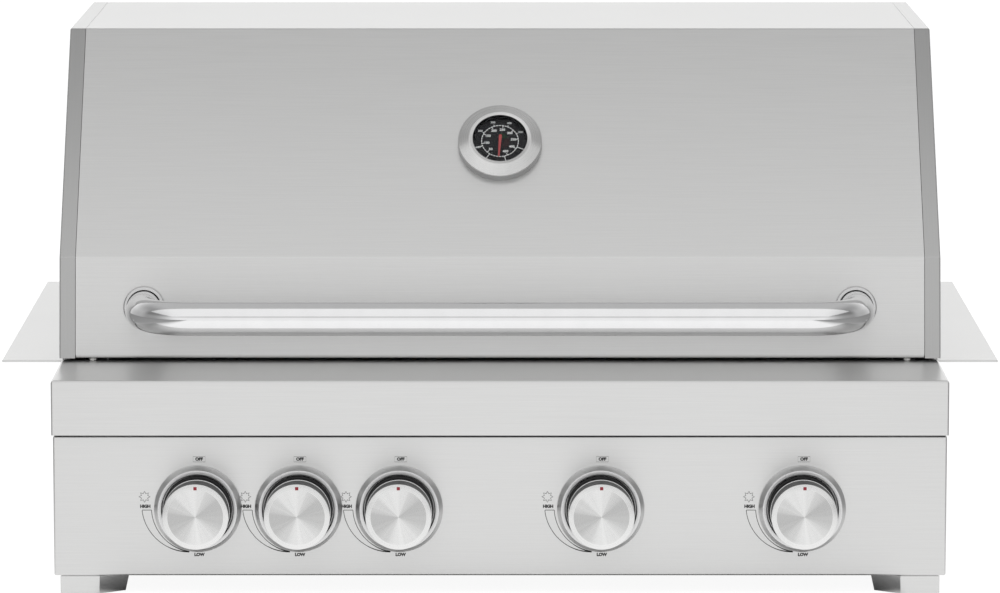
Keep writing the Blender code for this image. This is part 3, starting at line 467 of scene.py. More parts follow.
# Added so that the grain keeps a direction on faces that it meets square on
STEADY_TANGENT = (0.0, 0.01, 0.02)
sheet_steel = brushed("brushed_sheet", STEEL, 0.34, (14.0, 1100.0, 1100.0), (1, 0, 0))
# The end caps' band: the hood's steel at 0.72 of its tone, painted shade for the darker way its upright grain
# mirrors the studio.
painted_dark_band_steel = brushed("brushed_band_painted_dark", shade(STEEL, 0.72), 0.36, (1100.0, 14.0, 14.0), (0, 0.5, 0.8))
foot_steel = brushed("brushed_foot", shade(STEEL, 0.98), 0.20, (14.0, 900.0, 900.0), (1, 0, 0), 0.3)
side_steel = rolled_steel("body_sheet", (0.60, 0.60, 0.60), 0.38)
firebox_steel = rolled_steel("firebox_sheet", (0.52, 0.51, 0.50), 0.42)
burner_steel = smooth_metal("burner_tube", (0.58, 0.56, 0.53), 0.30, 0.06)
chrome = smooth_metal("chrome", (0.88, 0.88, 0.885), 0.10)
rod_steel = smooth_metal("polished_rod", (0.80, 0.80, 0.80), 0.13, 0.04)
# The knob's face and rim and the gauge's bezel carry painted shade in wedges: the next to last number is its
# share, the last the lean of its spokes.
knob_face = turned_finish("knob_face", (0.89, 0.89, 0.885), 0.28, 0.85, 0.04, 0.40, 15.0)
knob_rim = turned_finish("knob_rim", (0.89, 0.89, 0.885), 0.28, 0.3, 0.02, 0.10, 15.0)
collar_steel = smooth_metal("satin_collar", (0.68, 0.68, 0.68), 0.26)
gauge_bezel = turned_finish("gauge_bezel", (0.80, 0.80, 0.795), 0.27, 0.6, 0.04, 0.16, 130.0)
# A dark copy of the bezel's metal, for the painted shade on the gauge's outer wall.
gauge_side_painted_shade = turned_finish("gauge_side_painted_shade", (0.40, 0.40, 0.40), 0.34, 0.3)
valve_brass = smooth_metal("valve_brass", (0.72, 0.53, 0.25), 0.24, 0.06)
dial_black = painted("dial_black", (0.014, 0.014, 0.016), 0.40, specular=0.15)
white_print = painted("white_print", (0.85, 0.85, 0.85), 0.5, 0.04)
dark_print = painted("dark_print", (0.035, 0.035, 0.035), 0.5)
red_mark = painted("red_mark", (0.42, 0.03, 0.05), 0.4)
pointer_red = painted("pointer_red", (0.40, 0.055, 0.055), 0.45)
green_print = painted("green_print", (0.014, 0.032, 0.018), 0.5, specular=0.15)
red_print = painted("red_print", (0.028, 0.014, 0.015), 0.5, specular=0.15)
knob_side = painted("knob_side", (0.032, 0.032, 0.033), 0.40, specular=0.35)
knob_black = painted("knob_black", (0.014, 0.014, 0.015), 0.42)
bezel_steel = turned_finish("bezel_steel", (0.76, 0.76, 0.76), 0.30, 0.4, 0.03)
clear_rubber = painted("clear_rubber", (0.72, 0.72, 0.70), 0.25)
tile_clay = ceramic("tile_clay", (0.62, 0.50, 0.42))
lens_glass = glass("lens_glass")


# Building meshes

def new_object(name, bm, finish):
    """An object made from a bmesh, its faces turned outward."""
    bmesh.ops.recalc_face_normals(bm, faces=bm.faces)
    mesh = bpy.data.meshes.new(name)
    bm.to_mesh(mesh)
    bm.free()
    mesh.materials.append(finish)
    item = bpy.data.objects.new(name, mesh)
    bpy.context.scene.collection.objects.link(item)
    return item


def add_piece(name, bm, finish, body, replaces=(), smooth=True, spot=(0, 0, 0), turn=(0, 0, 0)):
    """Turn a bmesh into a piece that rides on a body."""
    item = new_object(name, bm, finish)
    if smooth:
        item.data.shade_smooth()
        item.data.set_sharp_from_angle(angle=math.radians(SMOOTH_BELOW_DEG))
    item.location = spot
    item.rotation_euler = turn
    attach(item, body)
    if replaces:
        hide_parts(*replaces)
    return item


def place(u, v, w, along):
    """A point from its place (u, v) in a section and w along the section's axis."""
    return {"x": (w, u, v), "y": (u, w, v), "z": (u, v, w)}[along]


def prism(bm, outline, start, end, along):
    """A closed solid between two copies of an outline."""
    first = [bm.verts.new(place(u, v, start, along)) for u, v in outline]
    last = [bm.verts.new(place(u, v, end, along)) for u, v in outline]
    bm.faces.new(first)
    bm.faces.new(last)
    for index in range(len(first)):
        bm.faces.new((first[index - 1], first[index], last[index], last[index - 1]))


def box(bm, low, high):
    outline = [(low[0], low[1]), (high[0], low[1]), (high[0], high[1]), (low[0], high[1])]
    prism(bm, outline, low[2], high[2], "z")


def circle(radius, sides, centre=(0, 0)):
    turns = [2 * math.pi * index / sides for index in range(sides)]
    return [(centre[0] + radius * math.cos(turn), centre[1] + radius * math.sin(turn)) for turn in turns]


def rod(bm, radius, start, end, along, centre, sides=24):
    prism(bm, circle(radius, sides, centre), start, end, along)


def turned(profile, sides=FINE_SIDES, closed=False):
    """Turn (radius, height) points about Z: a solid whose ends lie on the axis, or a closed ring."""
    bm = bmesh.new()
    rings = []
    for radius, height in profile:
        if radius == 0:
            rings.append([bm.verts.new((0, 0, height))])
        else:
            rings.append([bm.verts.new((x, y, height)) for x, y in circle(radius, sides)])
    pairs = list(zip(rings, rings[1:]))
    if closed:
        pairs.append((rings[-1], rings[0]))
    for lower, upper in pairs:
        for index in range(sides):
            corners = [lower[index - 1], lower[index]] if len(lower) > 1 else [lower[0]]
            corners += [upper[index], upper[index - 1]] if len(upper) > 1 else [upper[0]]
            bm.faces.new(corners)
    return bm


def rounded(path, radius, steps=BEND_STEPS):
    """The path with an arc of the radius, or of each corner's own radius, at each inner corner."""
    points = [Vector(point) for point in path]
    radii = radius if isinstance(radius, (list, tuple)) else [radius] * (len(points) - 2)
    made = [points[0]]
    for before, corner, after, bend in zip(points, points[1:], points[2:], radii):
        back = (before - corner).normalized()
        on = (after - corner).normalized()
        half = back.angle(on) / 2
        centre = corner + (back + on).normalized() * bend / math.sin(half)
        start = corner + back * bend / math.tan(half) - centre
        end = corner + on * bend / math.tan(half) - centre
        sweep = start.angle_signed(end)
        for step in range(steps + 1):
            turn = Matrix.Rotation(-sweep * step / steps, 2)
            made.append(centre + turn @ start)
    made.append(points[-1])
    return [tuple(point) for point in made]


def offset(path, thickness):
    """The path moved to its right by thickness, with mitred corners."""
    points = [Vector(point) for point in path]
    steps = [(after - before).normalized() for before, after in zip(points, points[1:])]
    rights = [Vector((step.y, -step.x)) for step in steps]
    moved = []
    for index, point in enumerate(points):
        before = rights[max(index - 1, 0)]
        after = rights[min(index, len(rights) - 1)]
        moved.append(point + (before + after) * thickness / (1 + before.dot(after)))
    return [tuple(point) for point in moved]


def folded(path, thickness):
    return list(path) + offset(path, thickness)[::-1]


def worked_out(item):
    """The object's mesh, with its modifiers or its text worked out."""
    return bpy.data.meshes.new_from_object(item.evaluated_get(bpy.context.evaluated_depsgraph_get()))


def weigh_normals(item):
    """Keep flat faces flat: a corner's normal is weighed over the faces that bend little from its own."""
    made = worked_out(item)
    item.modifiers.clear()
    item.data = made
    around = [[] for vert in made.vertices]
    for face in made.polygons:
        for vert in face.vertices:
            around[vert].append((face.normal.copy(), face.area))
    limit = math.cos(math.radians(BLEND_BELOW_DEG))
    normals = []
    for face in made.polygons:
        for vert in face.vertices:
            total = Vector()
            for normal, area in around[vert]:
                if normal.dot(face.normal) > limit:
                    total += normal * area
            normals.append(total.normalized())
    made.normals_split_custom_set(normals)


def round_edges(item, widest, segments):
    """Round the edges by the shares of the widest bevel that the mesh's edge weights give."""
    change = item.modifiers.new("edges", "BEVEL")
    change.limit_method = "WEIGHT"
    change.width = widest
    change.segments = segments
    change.use_clamp_overlap = False


def face_width(face):
    """About the width of a face, however long or bent it is."""
    return 2 * face.calc_area() / face.calc_perimeter()


def weigh_edges(bm, width_of):
    """Write each edge's bevel into the mesh as a share of the widest one, which is returned."""
    weights = bm.edges.layers.float.new("bevel_weight_edge")
    widths = {edge: width_of(edge) for edge in bm.edges}
    widest = max(widths.values())
    for edge, width in widths.items():
        edge[weights] = width / widest
    return widest


def edge_width(edge, fold):
    """How wide a bevel an edge of folded sheet takes: a bend, the sheet's cut rim, or none."""
    angle = edge.calc_face_angle(0)
    if angle < math.radians(BEND_OVER_DEG) or len(edge.link_faces) != 2:
        return 0
    if min(face_width(face) for face in edge.link_faces) < 2.5 * SHEET:
        return RIM_WIDTH
    if not edge.is_convex:
        return 0
    return fold(edge) * math.tan(angle / 2)


def along_x(edge):
    return abs(edge.verts[0].co.x - edge.verts[1].co.x) > SHEET


def softened(name, finish, fold=lambda edge: FOLD_RADIUS):
    """A sheet part from its CAD node, its bends rounded and its cut rims eased."""
    source = frame["nodes"][name]
    bm = bmesh.new()
    bm.from_mesh(source.data)
    bmesh.ops.remove_doubles(bm, verts=bm.verts, dist=MERGE_BELOW)
    bmesh.ops.dissolve_limit(bm, angle_limit=math.radians(FLAT_BELOW_DEG), verts=bm.verts, edges=bm.edges)
    # A face that runs round an opening would lie across it once its corners are moved
    bmesh.ops.triangulate(bm, faces=[face for face in bm.faces if len(face.verts) > 4])
    bm.normal_update()
    widest = weigh_edges(bm, lambda edge: edge_width(edge, fold))
    item = add_piece(name + "_sheet", bm, finish, source["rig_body"], [name])
    round_edges(item, widest, RIM_STEPS)
    weigh_normals(item)
    return item


def pressed_box(name, node, low, high, open_side, bend_of):
    """A box of sheet, open on one side, in a CAD node's place. bend_of(edge) gives each bend's radius."""
    bm = bmesh.new()
    box(bm, low, high)
    bmesh.ops.recalc_face_normals(bm, faces=bm.faces)
    opening = max(bm.faces, key=lambda face: face.normal.dot(Vector(open_side)))
    rim = set(opening.edges)
    widest = weigh_edges(bm, lambda edge: 0 if edge in rim else bend_of(edge))
    bmesh.ops.delete(bm, geom=[opening], context="FACES_ONLY")
    item = add_piece(name, bm, sheet_steel, "root", [node])
    round_edges(item, widest, BEND_STEPS)
    change = item.modifiers.new("thickness", "SOLIDIFY")
    change.thickness = SHEET
    change.offset = -1
    change.use_even_offset = True
    weigh_normals(item)


# The hood

def hood_path():
    return [
        (hood_low.y, hood_low.z),
        (crease_y, crease_z),
        (hood_top_front_y, hood_high.z),
        (hood_high.y, hood_high.z - HOOD_TOP_FALL),
        (hood_high.y, hood_low.z + HOOD_BACK_OPENING),
    ]


def lower_face_y(z):
    return hood_low.y + (z - hood_low.z) * LOWER_FACE_SETBACK / LOWER_FACE_RISE


def hood_shell():
    hem = (hood_low.y + HOOD_HEM_DEPTH, hood_low.z)
    path = rounded([hem] + hood_path(), BEND_RADIUS)
    bm = bmesh.new()
    prism(bm, folded(path, SHEET), hood_low.x, hood_high.x, "x")
    bm.verts.ensure_lookup_table()
    outer = set(bm.verts[:len(path)]) | set(bm.verts[2 * len(path):3 * len(path)])
    ends = [edge for edge in bm.edges if set(edge.verts) <= outer
            and edge.verts[0].co.x == edge.verts[1].co.x]
    bmesh.ops.bevel(bm, geom=ends, offset=SHELL_EDGE, segments=3, profile=0.5, affect="EDGES")
    weigh_normals(add_piece("hood_sheet", bm, sheet_steel, "hood", ["hood_shell"]))


def hood_end_caps():
    """Pressed ends, bent at the front like the sheet between them. The right one mirrors the left."""
    # The end caps take the darker band steel, which is painted shade.
    left = softened("hood_end_cap_left", painted_dark_band_steel,
                    lambda edge: BEND_RADIUS if along_x(edge) else FOLD_RADIUS)
    bm = bmesh.new()
    bm.from_mesh(left.data)
    bm.transform(Matrix.Scale(-1, 4, (1, 0, 0)))
    weigh_normals(add_piece("hood_end_cap_right_sheet", bm, painted_dark_band_steel, "hood",
                            ["hood_end_cap_right"]))


def hood_bumpers():
    """Small clear stops under the hem, which the hood rests on."""
    for side, label in ((-1, "left"), (1, "right")):
        outline = [(0, 0), (BUMPER_RADIUS, 0), (BUMPER_RADIUS * 0.8, BUMPER_HEIGHT), (0, BUMPER_HEIGHT)]
        profile = rounded(outline, BUMPER_HEIGHT * 0.25, 3)
        spot = (side * BUMPER_REACH, hood_low.y + BUMPER_SETBACK, hood_low.z - GAP)
        add_piece("hood_bumper_" + label, turned(profile, 32), clear_rubber, "hood",
                  spot=spot, turn=(math.pi, 0, 0))


def hood_handle():
    """A round tube swept out from the hood, round a bend, across and back."""
    low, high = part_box("hood_handle")
    radius = (high.z - low.z) / 2
    middle_z = (high.z + low.z) / 2
    end_x = high.x - radius
    bar_y = low.y + radius
    points = [Vector((-end_x, lower_face_y(middle_z), 0))]
    for side in (-1, 1):
        centre = Vector((side * (end_x - HANDLE_BEND), bar_y + HANDLE_BEND, 0))
        steps = range(HANDLE_BEND_STEPS + 1)
        for step in steps if side < 0 else reversed(steps):
            angle = step * math.pi / 2 / HANDLE_BEND_STEPS
            points.append(centre + Vector((side * math.cos(angle), -math.sin(angle), 0)) * HANDLE_BEND)
    points.append(Vector((end_x, lower_face_y(middle_z), 0)))
    bm = bmesh.new()
    rings = []
    for index, point in enumerate(points):
        before = points[max(index - 1, 0)]
        after = points[min(index + 1, len(points) - 1)]
        along = (after - before).normalized()
        across = Vector((along.y, -along.x, 0))
        at_end = index in (0, len(points) - 1)
        ring = []
        for u, v in circle(radius, HANDLE_SIDES):
            spot = point + across * u
            z = middle_z + v
            y = lower_face_y(z) - GAP if at_end else spot.y
            ring.append(bm.verts.new((spot.x, y, z)))
        rings.append(ring)
    for lower, upper in zip(rings, rings[1:]):
        for index in range(HANDLE_SIDES):
            bm.faces.new((lower[index - 1], lower[index], upper[index], upper[index - 1]))
    bm.faces.new(rings[0])
    bm.faces.new(rings[-1])
    add_piece("handle_tube", bm, chrome, "hood", ["hood_handle"])


def handle_rosettes():
    """Round collars with a rolled shoulder, sheared to lie on the sloping face."""
    handle_low, handle_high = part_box("hood_handle")
    hole = (handle_high.z - handle_low.z) / 2 + GAP
    middle_z = (handle_high.z + handle_low.z) / 2
    for name in ("handle_rosette_left", "handle_rosette_right"):
        low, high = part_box(name)
        radius = (high.x - low.x) / 2
        middle_x = (high.x + low.x) / 2
        top = ROSETTE_THICKNESS
        lip = hole + ROSETTE_LIP
        shoulder = rounded([(radius, GAP), (radius, top), (lip, top), (hole, top - 2 * ROSETTE_LIP)],
                           [ROSETTE_ROUND, ROSETTE_LIP * 0.3])
        bm = turned([(hole, GAP)] + shoulder, closed=True)
        for vert in bm.verts:
            z = middle_z + vert.co.y
            vert.co = (middle_x + vert.co.x, lower_face_y(z) - vert.co.z, z)
        add_piece(name + "_collar", bm, collar_steel, "hood", [name])


# The front of the body

def front_ledge():
    low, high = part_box("front_ledge")
    low.z += LEDGE_RISE

    def bend_of(edge):
        if along_x(edge):
            return LEDGE_FRONT_BEND
        return LEDGE_SIDE_BEND if min(vert.co.z for vert in edge.verts) > high.z - GAP else PANEL_BEND

    pressed_box("ledge_sheet", "front_ledge", low, high, (0, 0, -1), bend_of)


def control_panel():
    low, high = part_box("control_panel")
    high.z += PANEL_RISE
    pressed_box("panel_sheet", "control_panel", low, high, (0, 1, 0), lambda edge: PANEL_BEND)


def feet():
    for ends in ("front_left", "front_right", "rear_left", "rear_right"):
        softened("foot_" + ends, foot_steel)


# The gauge, about its own axis, square to the upper face

def place_gauge(name, bm, finish, replaced=(), body="hood"):
    """Set a piece on the gauge's axis."""
    add_piece(name, bm, finish, body, replaced, spot=gauge_centre, turn=(gauge_tilt, 0, 0))


def clock(radius, degrees):
    """A point at a radius, its angle clockwise from straight up."""
    turn = math.radians(degrees)
    return radius * math.sin(turn), radius * math.cos(turn)


def gauge_case():
    """The bezel, whose cone ends in a lip that falls inwards, the well behind it, and the probe; and a dark
    sleeve round the bezel's outer wall, which is painted shade.
    """
    cone = rounded([(GAUGE_RADIUS, GAP), (GAUGE_RADIUS, GAUGE_EDGE), (GAUGE_CREST, GAUGE_HEIGHT),
                    (GAUGE_MOUTH, GAUGE_LENS_TOP + GAP), (GAUGE_MOUTH, GAUGE_LENS_TOP)],
                   [GAUGE_EDGE_ROUND, GAUGE_CREST_ROUND, GAUGE_LIP_ROUND], 8)
    well = [(GAUGE_WELL, GAUGE_LENS_TOP), (GAUGE_WELL, GAUGE_FLOOR), (0, GAUGE_FLOOR)]
    probe = [(0, -GAUGE_PROBE_LENGTH), (GAUGE_PROBE * 0.6, -GAUGE_PROBE_LENGTH),
             (GAUGE_PROBE, GAUGE_PROBE - GAUGE_PROBE_LENGTH), (GAUGE_PROBE, GAP)]
    bm = turned(probe + cone + well)
    place_gauge("gauge_case", bm, gauge_bezel, ["thermometer_case"])
    # Painted shade: a thin dark sleeve laid just outside the bezel's outer wall, darker than the bezel it
    # covers.
    low, high, outer = 2 * GAP, GAUGE_EDGE - 4 * GAP, GAUGE_RADIUS + GAP / 10
    band = turned([(outer - GAP, low), (outer, low), (outer, high), (outer - GAP, high)], closed=True)
    place_gauge("gauge_shade_band", band, gauge_side_painted_shade)


def gauge_dial():
    """The printed disc in its black cup, which lines the well up to the lens."""
    low = GAUGE_FLOOR + GAP
    outer = GAUGE_WELL - GAP
    inner = outer - GAUGE_CUP
    cup_top = GAUGE_LENS_LOW - GAP
    bm = turned([(0, low), (outer, low), (outer, cup_top), (inner, cup_top), (inner, GAUGE_DIAL_TOP),
                 (0, GAUGE_DIAL_TOP)])
    place_gauge("gauge_dial", bm, dial_black, ["thermometer_dial"])


def gauge_pointer():
    """A flat needle, wide at its tail and narrow at its tip."""
    bm = bmesh.new()
    outline = []
    ends = ((POINTER_TAIL_WIDTH, -POINTER_TAIL, 180), (POINTER_TIP_WIDTH, POINTER_LENGTH, 0))
    for width, reach, first in ends:
        for step in range(7):
            turn = math.radians(first + 180 * step / 6)
            centre = reach - math.copysign(width / 2, reach)
            outline.append((width / 2 * math.cos(turn), centre + width / 2 * math.sin(turn)))
    turn = Matrix.Rotation(-math.radians(POINTER_REST_DEG), 2)
    outline = [tuple(turn @ Vector(point)) for point in outline]
    prism(bm, outline, POINTER_LOW, POINTER_LOW + POINTER_THICKNESS, "z")
    place_gauge("gauge_pointer", bm, pointer_red, ["thermometer_pointer"], "pointer")


def gauge_lens():
    radius = GAUGE_WELL - GAP
    bm = turned([(0, GAUGE_LENS_LOW), (radius, GAUGE_LENS_LOW), (radius, GAUGE_LENS_TOP - GAP),
                 (0, GAUGE_LENS_TOP - GAP)])
    place_gauge("gauge_lens", bm, lens_glass, ["thermometer_lens"])


# Knobs and their bezels

def knob_axis(index):
    low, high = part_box("knob_bezel_%d" % index)
    return Vector(((low.x + high.x) / 2, panel_front_y, (low.z + high.z) / 2))


def place_on_axis(name, bm, finish, index, body, replaced):
    """Set a piece on a knob's axis, square to the panel."""
    add_piece(name, bm, finish, body, replaced, spot=knob_axis(index), turn=(math.pi / 2, 0, 0))


def knob(index):
    """A brushed cap in a brighter rim, a dark barrel, a thin bright band and a skirt, bored for the stem."""
    body = "knob_%d" % index
    inner = KNOB_RADIUS - KNOB_RIM
    side = KNOB_RADIUS - KNOB_GROOVE
    half = KNOB_MARK / 2

    def fit(part, bm, finish, replaced=(body,)):
        place_on_axis("knob_%s_%d" % (part, index), bm, finish, index, body, replaced)

    rim = rounded([(inner, KNOB_FACE_BACK), (KNOB_RADIUS, KNOB_FACE_BACK),
                   (KNOB_RADIUS, KNOB_FRONT - KNOB_RIM_FALL), (inner, KNOB_FRONT)], KNOB_RIM_ROUNDS, 4)
    fit("rim", turned(rim, closed=True), knob_rim)
    cap = [(0, KNOB_FACE_BACK), (inner, KNOB_FACE_BACK), (inner, KNOB_FRONT), (0, KNOB_FRONT)]
    fit("cap", turned(cap), knob_face)
    barrel = [(0, KNOB_BORE_TOP), (KNOB_BORE, KNOB_BORE_TOP), (KNOB_BORE, KNOB_BAND_TOP),
              (side, KNOB_BAND_TOP), (side, KNOB_FACE_BACK - GAP), (0, KNOB_FACE_BACK - GAP)]
    fit("barrel", turned(barrel), knob_side)
    band = rounded([(KNOB_BORE, KNOB_BAND_LOW), (KNOB_RADIUS, KNOB_BAND_LOW),
                    (KNOB_RADIUS, KNOB_BAND_TOP - GAP), (KNOB_BORE, KNOB_BAND_TOP - GAP)], KNOB_BAND_ROUND, 3)
    fit("band", turned(band, closed=True), rod_steel)
    top = KNOB_BAND_LOW - GAP
    skirt = rounded([(KNOB_BORE, top), (side, top), (KNOB_RADIUS - KNOB_TAPER, KNOB_COLLAR_FRONT),
                     (KNOB_COLLAR, KNOB_COLLAR_FRONT), (KNOB_COLLAR, KNOB_BACK), (KNOB_BORE, KNOB_BACK)],
                    [KNOB_BAND_ROUND] + [KNOB_SKIRT_ROUND] * 3, 4)
    fit("skirt", turned(skirt, closed=True), knob_black)
    mark = bmesh.new()
    box(mark, (-half, KNOB_MARK_RISE - half, KNOB_FRONT + GAP / 10),
        (half, KNOB_MARK_RISE + half, KNOB_FRONT + GAP / 3))
    fit("mark", mark, red_mark, ())


def knob_bezel(index):
    """A dished ring: a steep outer slope up to a wide rounded bead, and a straight mouth."""
    outer = rounded([(BEZEL_RADIUS, GAP), (BEZEL_RADIUS, BEZEL_EDGE), (BEAD_OUTER, BEZEL_HEIGHT),
                     (BEAD_INNER, BEZEL_HEIGHT), (BEAD_INNER, BEZEL_FLOOR)],
                    [BEZEL_EDGE * 0.3, BEAD_EDGE, BEAD_EDGE])
    profile = [(BEZEL_HOLE, GAP)] + outer + [(BEZEL_HOLE, BEZEL_FLOOR)]
    place_on_axis("knob_ring_%d" % index, turned(profile, closed=True), bezel_steel, index, "root",
                  ["knob_bezel_%d" % index])


# Lettering and symbols

def letters(bm, text, size, spot, place_point, bold=0.0):
    """Flat text, centred on a spot, laid by place_point(u, v, height)."""
    curve = bpy.data.curves.new("letters", "FONT")
    curve.body = text
    curve.size = size
    curve.align_x = "CENTER"
    curve.align_y = "CENTER"
    curve.extrude = PRINT_THICKNESS / 2
    curve.offset = bold
    curve.resolution_u = 3
    item = bpy.data.objects.new("letters", curve)
    bpy.context.scene.collection.objects.link(item)
    mesh = worked_out(item)
    first = len(bm.verts)
    bm.from_mesh(mesh)
    bm.verts.ensure_lookup_table()
    for vert in bm.verts[first:]:
        vert.co = place_point(spot[0] + vert.co.x, spot[1] + vert.co.y, vert.co.z + PRINT_THICKNESS / 2)
    bpy.data.objects.remove(item)
    bpy.data.curves.remove(curve)
    bpy.data.meshes.remove(mesh)


def stroke(bm, points, widths, place_point, closed=False):
    """A flat printed line through (u, v) points."""
    spots = [Vector(point) for point in points]
    count = len(spots)
    if not isinstance(widths, (list, tuple)):
        widths = [widths] * count
    left, right = [], []
    for index, spot in enumerate(spots):
        before = spots[index - 1] if index or closed else spot
        after = spots[(index + 1) % count] if index < count - 1 or closed else spot
        along = (after - before).normalized()
        across = Vector((-along.y, along.x)) * widths[index] / 2
        left.append(spot + across)
        right.append(spot - across)
    rings = []
    for a, b in zip(left, right):
        rings.append([bm.verts.new(place_point(p.x, p.y, h)) for p, h in
                      ((a, 0), (b, 0), (b, PRINT_THICKNESS), (a, PRINT_THICKNESS))])
    pairs = list(zip(rings, rings[1:])) + ([(rings[-1], rings[0])] if closed else [])
    for one, two in pairs:
        for corner in range(4):
            bm.faces.new((one[corner - 1], one[corner], two[corner], two[corner - 1]))
    if not closed:
        bm.faces.new(rings[0])
        bm.faces.new(rings[-1])


def arc(start, end, steps, radius_at):
    """Points at clockwise angles from start to end, at a radius that may change with the share."""
    return [clock(radius_at(step / steps), start + (end - start) * step / steps) for step in range(steps + 1)]


def flame_mark(bm, centre, place_point):
    """A small burst of eight points, which stands for lighting the flame."""
    outline = []
    for step in range(16):
        u, v = clock(FLAME_RADIUS * (0.6 if step % 2 else 1.0), step * 22.5)
        outline.append((centre[0] + u, centre[1] + v))
    stroke(bm, outline, THIN_LINE, place_point, True)


def knob_print():
    """Round each knob: OFF in a frame above, a flame and HIGH at its left, a narrowing band down to LOW."""
    bm = bmesh.new()
    for index in range(1, 6):
        axis = knob_axis(index)

        def at(u, v, height):
            return Vector((axis.x + u, axis.y - PRINT_LIFT - height, axis.z + v))

        for text, spot in (("OFF", OFF_SPOT), ("LOW", LOW_SPOT), ("HIGH", HIGH_SPOT)):
            letters(bm, text, LABEL_SIZE, spot, at, LABEL_BOLD)
        corners = [(OFF_SPOT[0] + u * OFF_FRAME[0] / 2, OFF_SPOT[1] + v * OFF_FRAME[1] / 2)
                   for u, v in ((-1, -1), (1, -1), (1, 1), (-1, 1))]
        stroke(bm, corners, THIN_LINE / 2, at, True)
        flame_mark(bm, FLAME_SPOT, at)
        for start in (BAND_OUTER, BAND_INNER):
            line = arc(*BAND_DEGS, BAND_STEPS, lambda share: start + (BAND_TIP - start) * share ** 1.3)
            widths = [THIN_LINE + (THICK_LINE - THIN_LINE) * max(0, step / BAND_STEPS - 0.6) / 0.4
                      for step in range(BAND_STEPS + 1)]
            stroke(bm, line, widths, at)
        stroke(bm, [(-BAND_OUTER, BAND_TOP), (-BAND_INNER, BAND_TOP)], THIN_LINE, at)
    add_piece("panel_print", bm, dark_print, "root", smooth=False)


def dial_print():
    """A ladder scale round the dial, with round numbers inside and outside it."""
    bm = bmesh.new()

    def at(u, v, height):
        return Vector((u, v, GAUGE_DIAL_TOP + PRINT_LIFT + height))

    def tick(near, far, degrees, width):
        stroke(bm, [clock(near, degrees), clock(far, degrees)], width, at)

    half = SCALE_WIDTH / 2
    stroke(bm, arc(0, 356, 89, lambda share: SCALE_RADIUS), SCALE_LINE, at, True)
    for step in range(SCALE_DASHES):
        tick(SCALE_RADIUS - half, SCALE_RADIUS + half, step * 360 / SCALE_DASHES, SCALE_DASH)
    for index in range(9):
        degrees = SCALE_START + index * SCALE_STEP
        tick(SCALE_RADIUS - INNER_TICK[0], SCALE_RADIUS, degrees, INNER_TICK[1])
        letters(bm, str(50 * (index + 1)), INNER_TEXT[0], clock(INNER_NUMBERS, degrees), at, INNER_TEXT[1])
    for index, degrees in enumerate(OUTER_NUMBER_DEGS):
        tick(SCALE_RADIUS, SCALE_RADIUS + OUTER_TICK[0], degrees, OUTER_TICK[1])
        letters(bm, str(100 * (index + 1)), OUTER_TEXT[0], clock(OUTER_NUMBERS, degrees), at, OUTER_TEXT[1])
    for degrees in LONG_TICK_DEGS:
        tick(SCALE_RADIUS, GAUGE_WELL - GAP - 2 * GAUGE_CUP, degrees, INNER_TICK[1])
    place_gauge("gauge_print", bm, white_print)
    for name, finish, ends in (("green", green_print, GREEN_DEGS), ("red", red_print, RED_DEGS)):
        bm = bmesh.new()
        stroke(bm, arc(*ends, 20, lambda share: COLOUR_ARC), COLOUR_WIDTH, at)
        place_gauge("gauge_%s_arc" % name, bm, finish)


# Inside the hood

def round_bar(bm, low, high, start, end, along, radius):
    """A bar with rounded long edges, between (u, v) corners."""
    left, right, bottom, top = low[0] + radius, high[0] - radius, low[1] + radius, high[1] - radius
    outline = []
    for quarter, (u, v) in enumerate(((right, top), (left, top), (left, bottom), (right, bottom))):
        for step in range(4):
            turn = math.radians(90 * quarter + 30 * step)
            outline.append((u + radius * math.cos(turn), v + radius * math.sin(turn)))
    prism(bm, outline, start, end, along)


def cooking_grate(name):
    low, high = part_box(name)
    bm = bmesh.new()
    round_edge = GRATE_BAR * 0.35
    for y in (low.y, high.y - GRATE_BAR):
        round_bar(bm, (y, low.z), (y + GRATE_BAR, high.z), low.x, high.x, "x", round_edge)
    pitch = (high.x - low.x - GRATE_BAR) / (GRATE_BAR_COUNT - 1)
    for index in range(GRATE_BAR_COUNT):
        x = low.x + index * pitch
        round_bar(bm, (x, low.z + GAP), (x + GRATE_BAR, high.z), low.y + GAP, high.y - GAP, "y", round_edge)
    add_piece(name + "_bars", bm, rod_steel, "root", [name])


def warming_rack():
    low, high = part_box("warming_rack")
    bm = bmesh.new()
    radius = (high.z - low.z) / 2
    middle = (high.z + low.z) / 2
    for x, width in ((low.x, RACK_SIDE_BAR), (-RACK_SIDE_BAR / 2, RACK_SIDE_BAR),
                     (high.x - RACK_SIDE_BAR, RACK_SIDE_BAR)):
        round_bar(bm, (x, low.z), (x + width, high.z), low.y, high.y, "y", radius * 0.5)
    pitch = (high.y - low.y - 2 * radius) / (RACK_ROD_COUNT - 1)
    for index in range(RACK_ROD_COUNT):
        y = low.y + radius + index * pitch
        rod(bm, radius * 0.96, low.x + GAP, high.x - GAP, "x", (y, middle))
    add_piece("warming_rack_rods", bm, rod_steel, "root", ["warming_rack"])


def rear_burner():
    """The box on the rear panel, with a pierced tile in its recess and a wire guard in front."""
    softened("rear_burner", burner_steel)
    low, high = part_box("rear_burner")
    left, right = low.x + REAR_BORDER + GAP, high.x - REAR_BORDER - GAP
    bottom, top = low.z + REAR_BORDER + GAP, high.z - REAR_BORDER - GAP
    back = low.y + REAR_RECESS - GAP
    bm = bmesh.new()
    box(bm, (left, back - REAR_TILE, bottom), (right, back, top))
    add_piece("rear_burner_tile", bm, tile_clay, "root")
    bm = bmesh.new()
    front = low.y + 2 * GUARD_WIRE
    pitch = (right - left) / (GUARD_WIRE_COUNT + 1)
    for index in range(GUARD_WIRE_COUNT):
        rod(bm, GUARD_WIRE, bottom, top, "z", (left + (index + 1) * pitch, front), 12)
    for share in (0.25, 0.5, 0.75):
        rod(bm, GUARD_WIRE, left, right, "x", (front, bottom + (top - bottom) * share), 12)
    add_piece("rear_burner_guard", bm, rod_steel, "root")


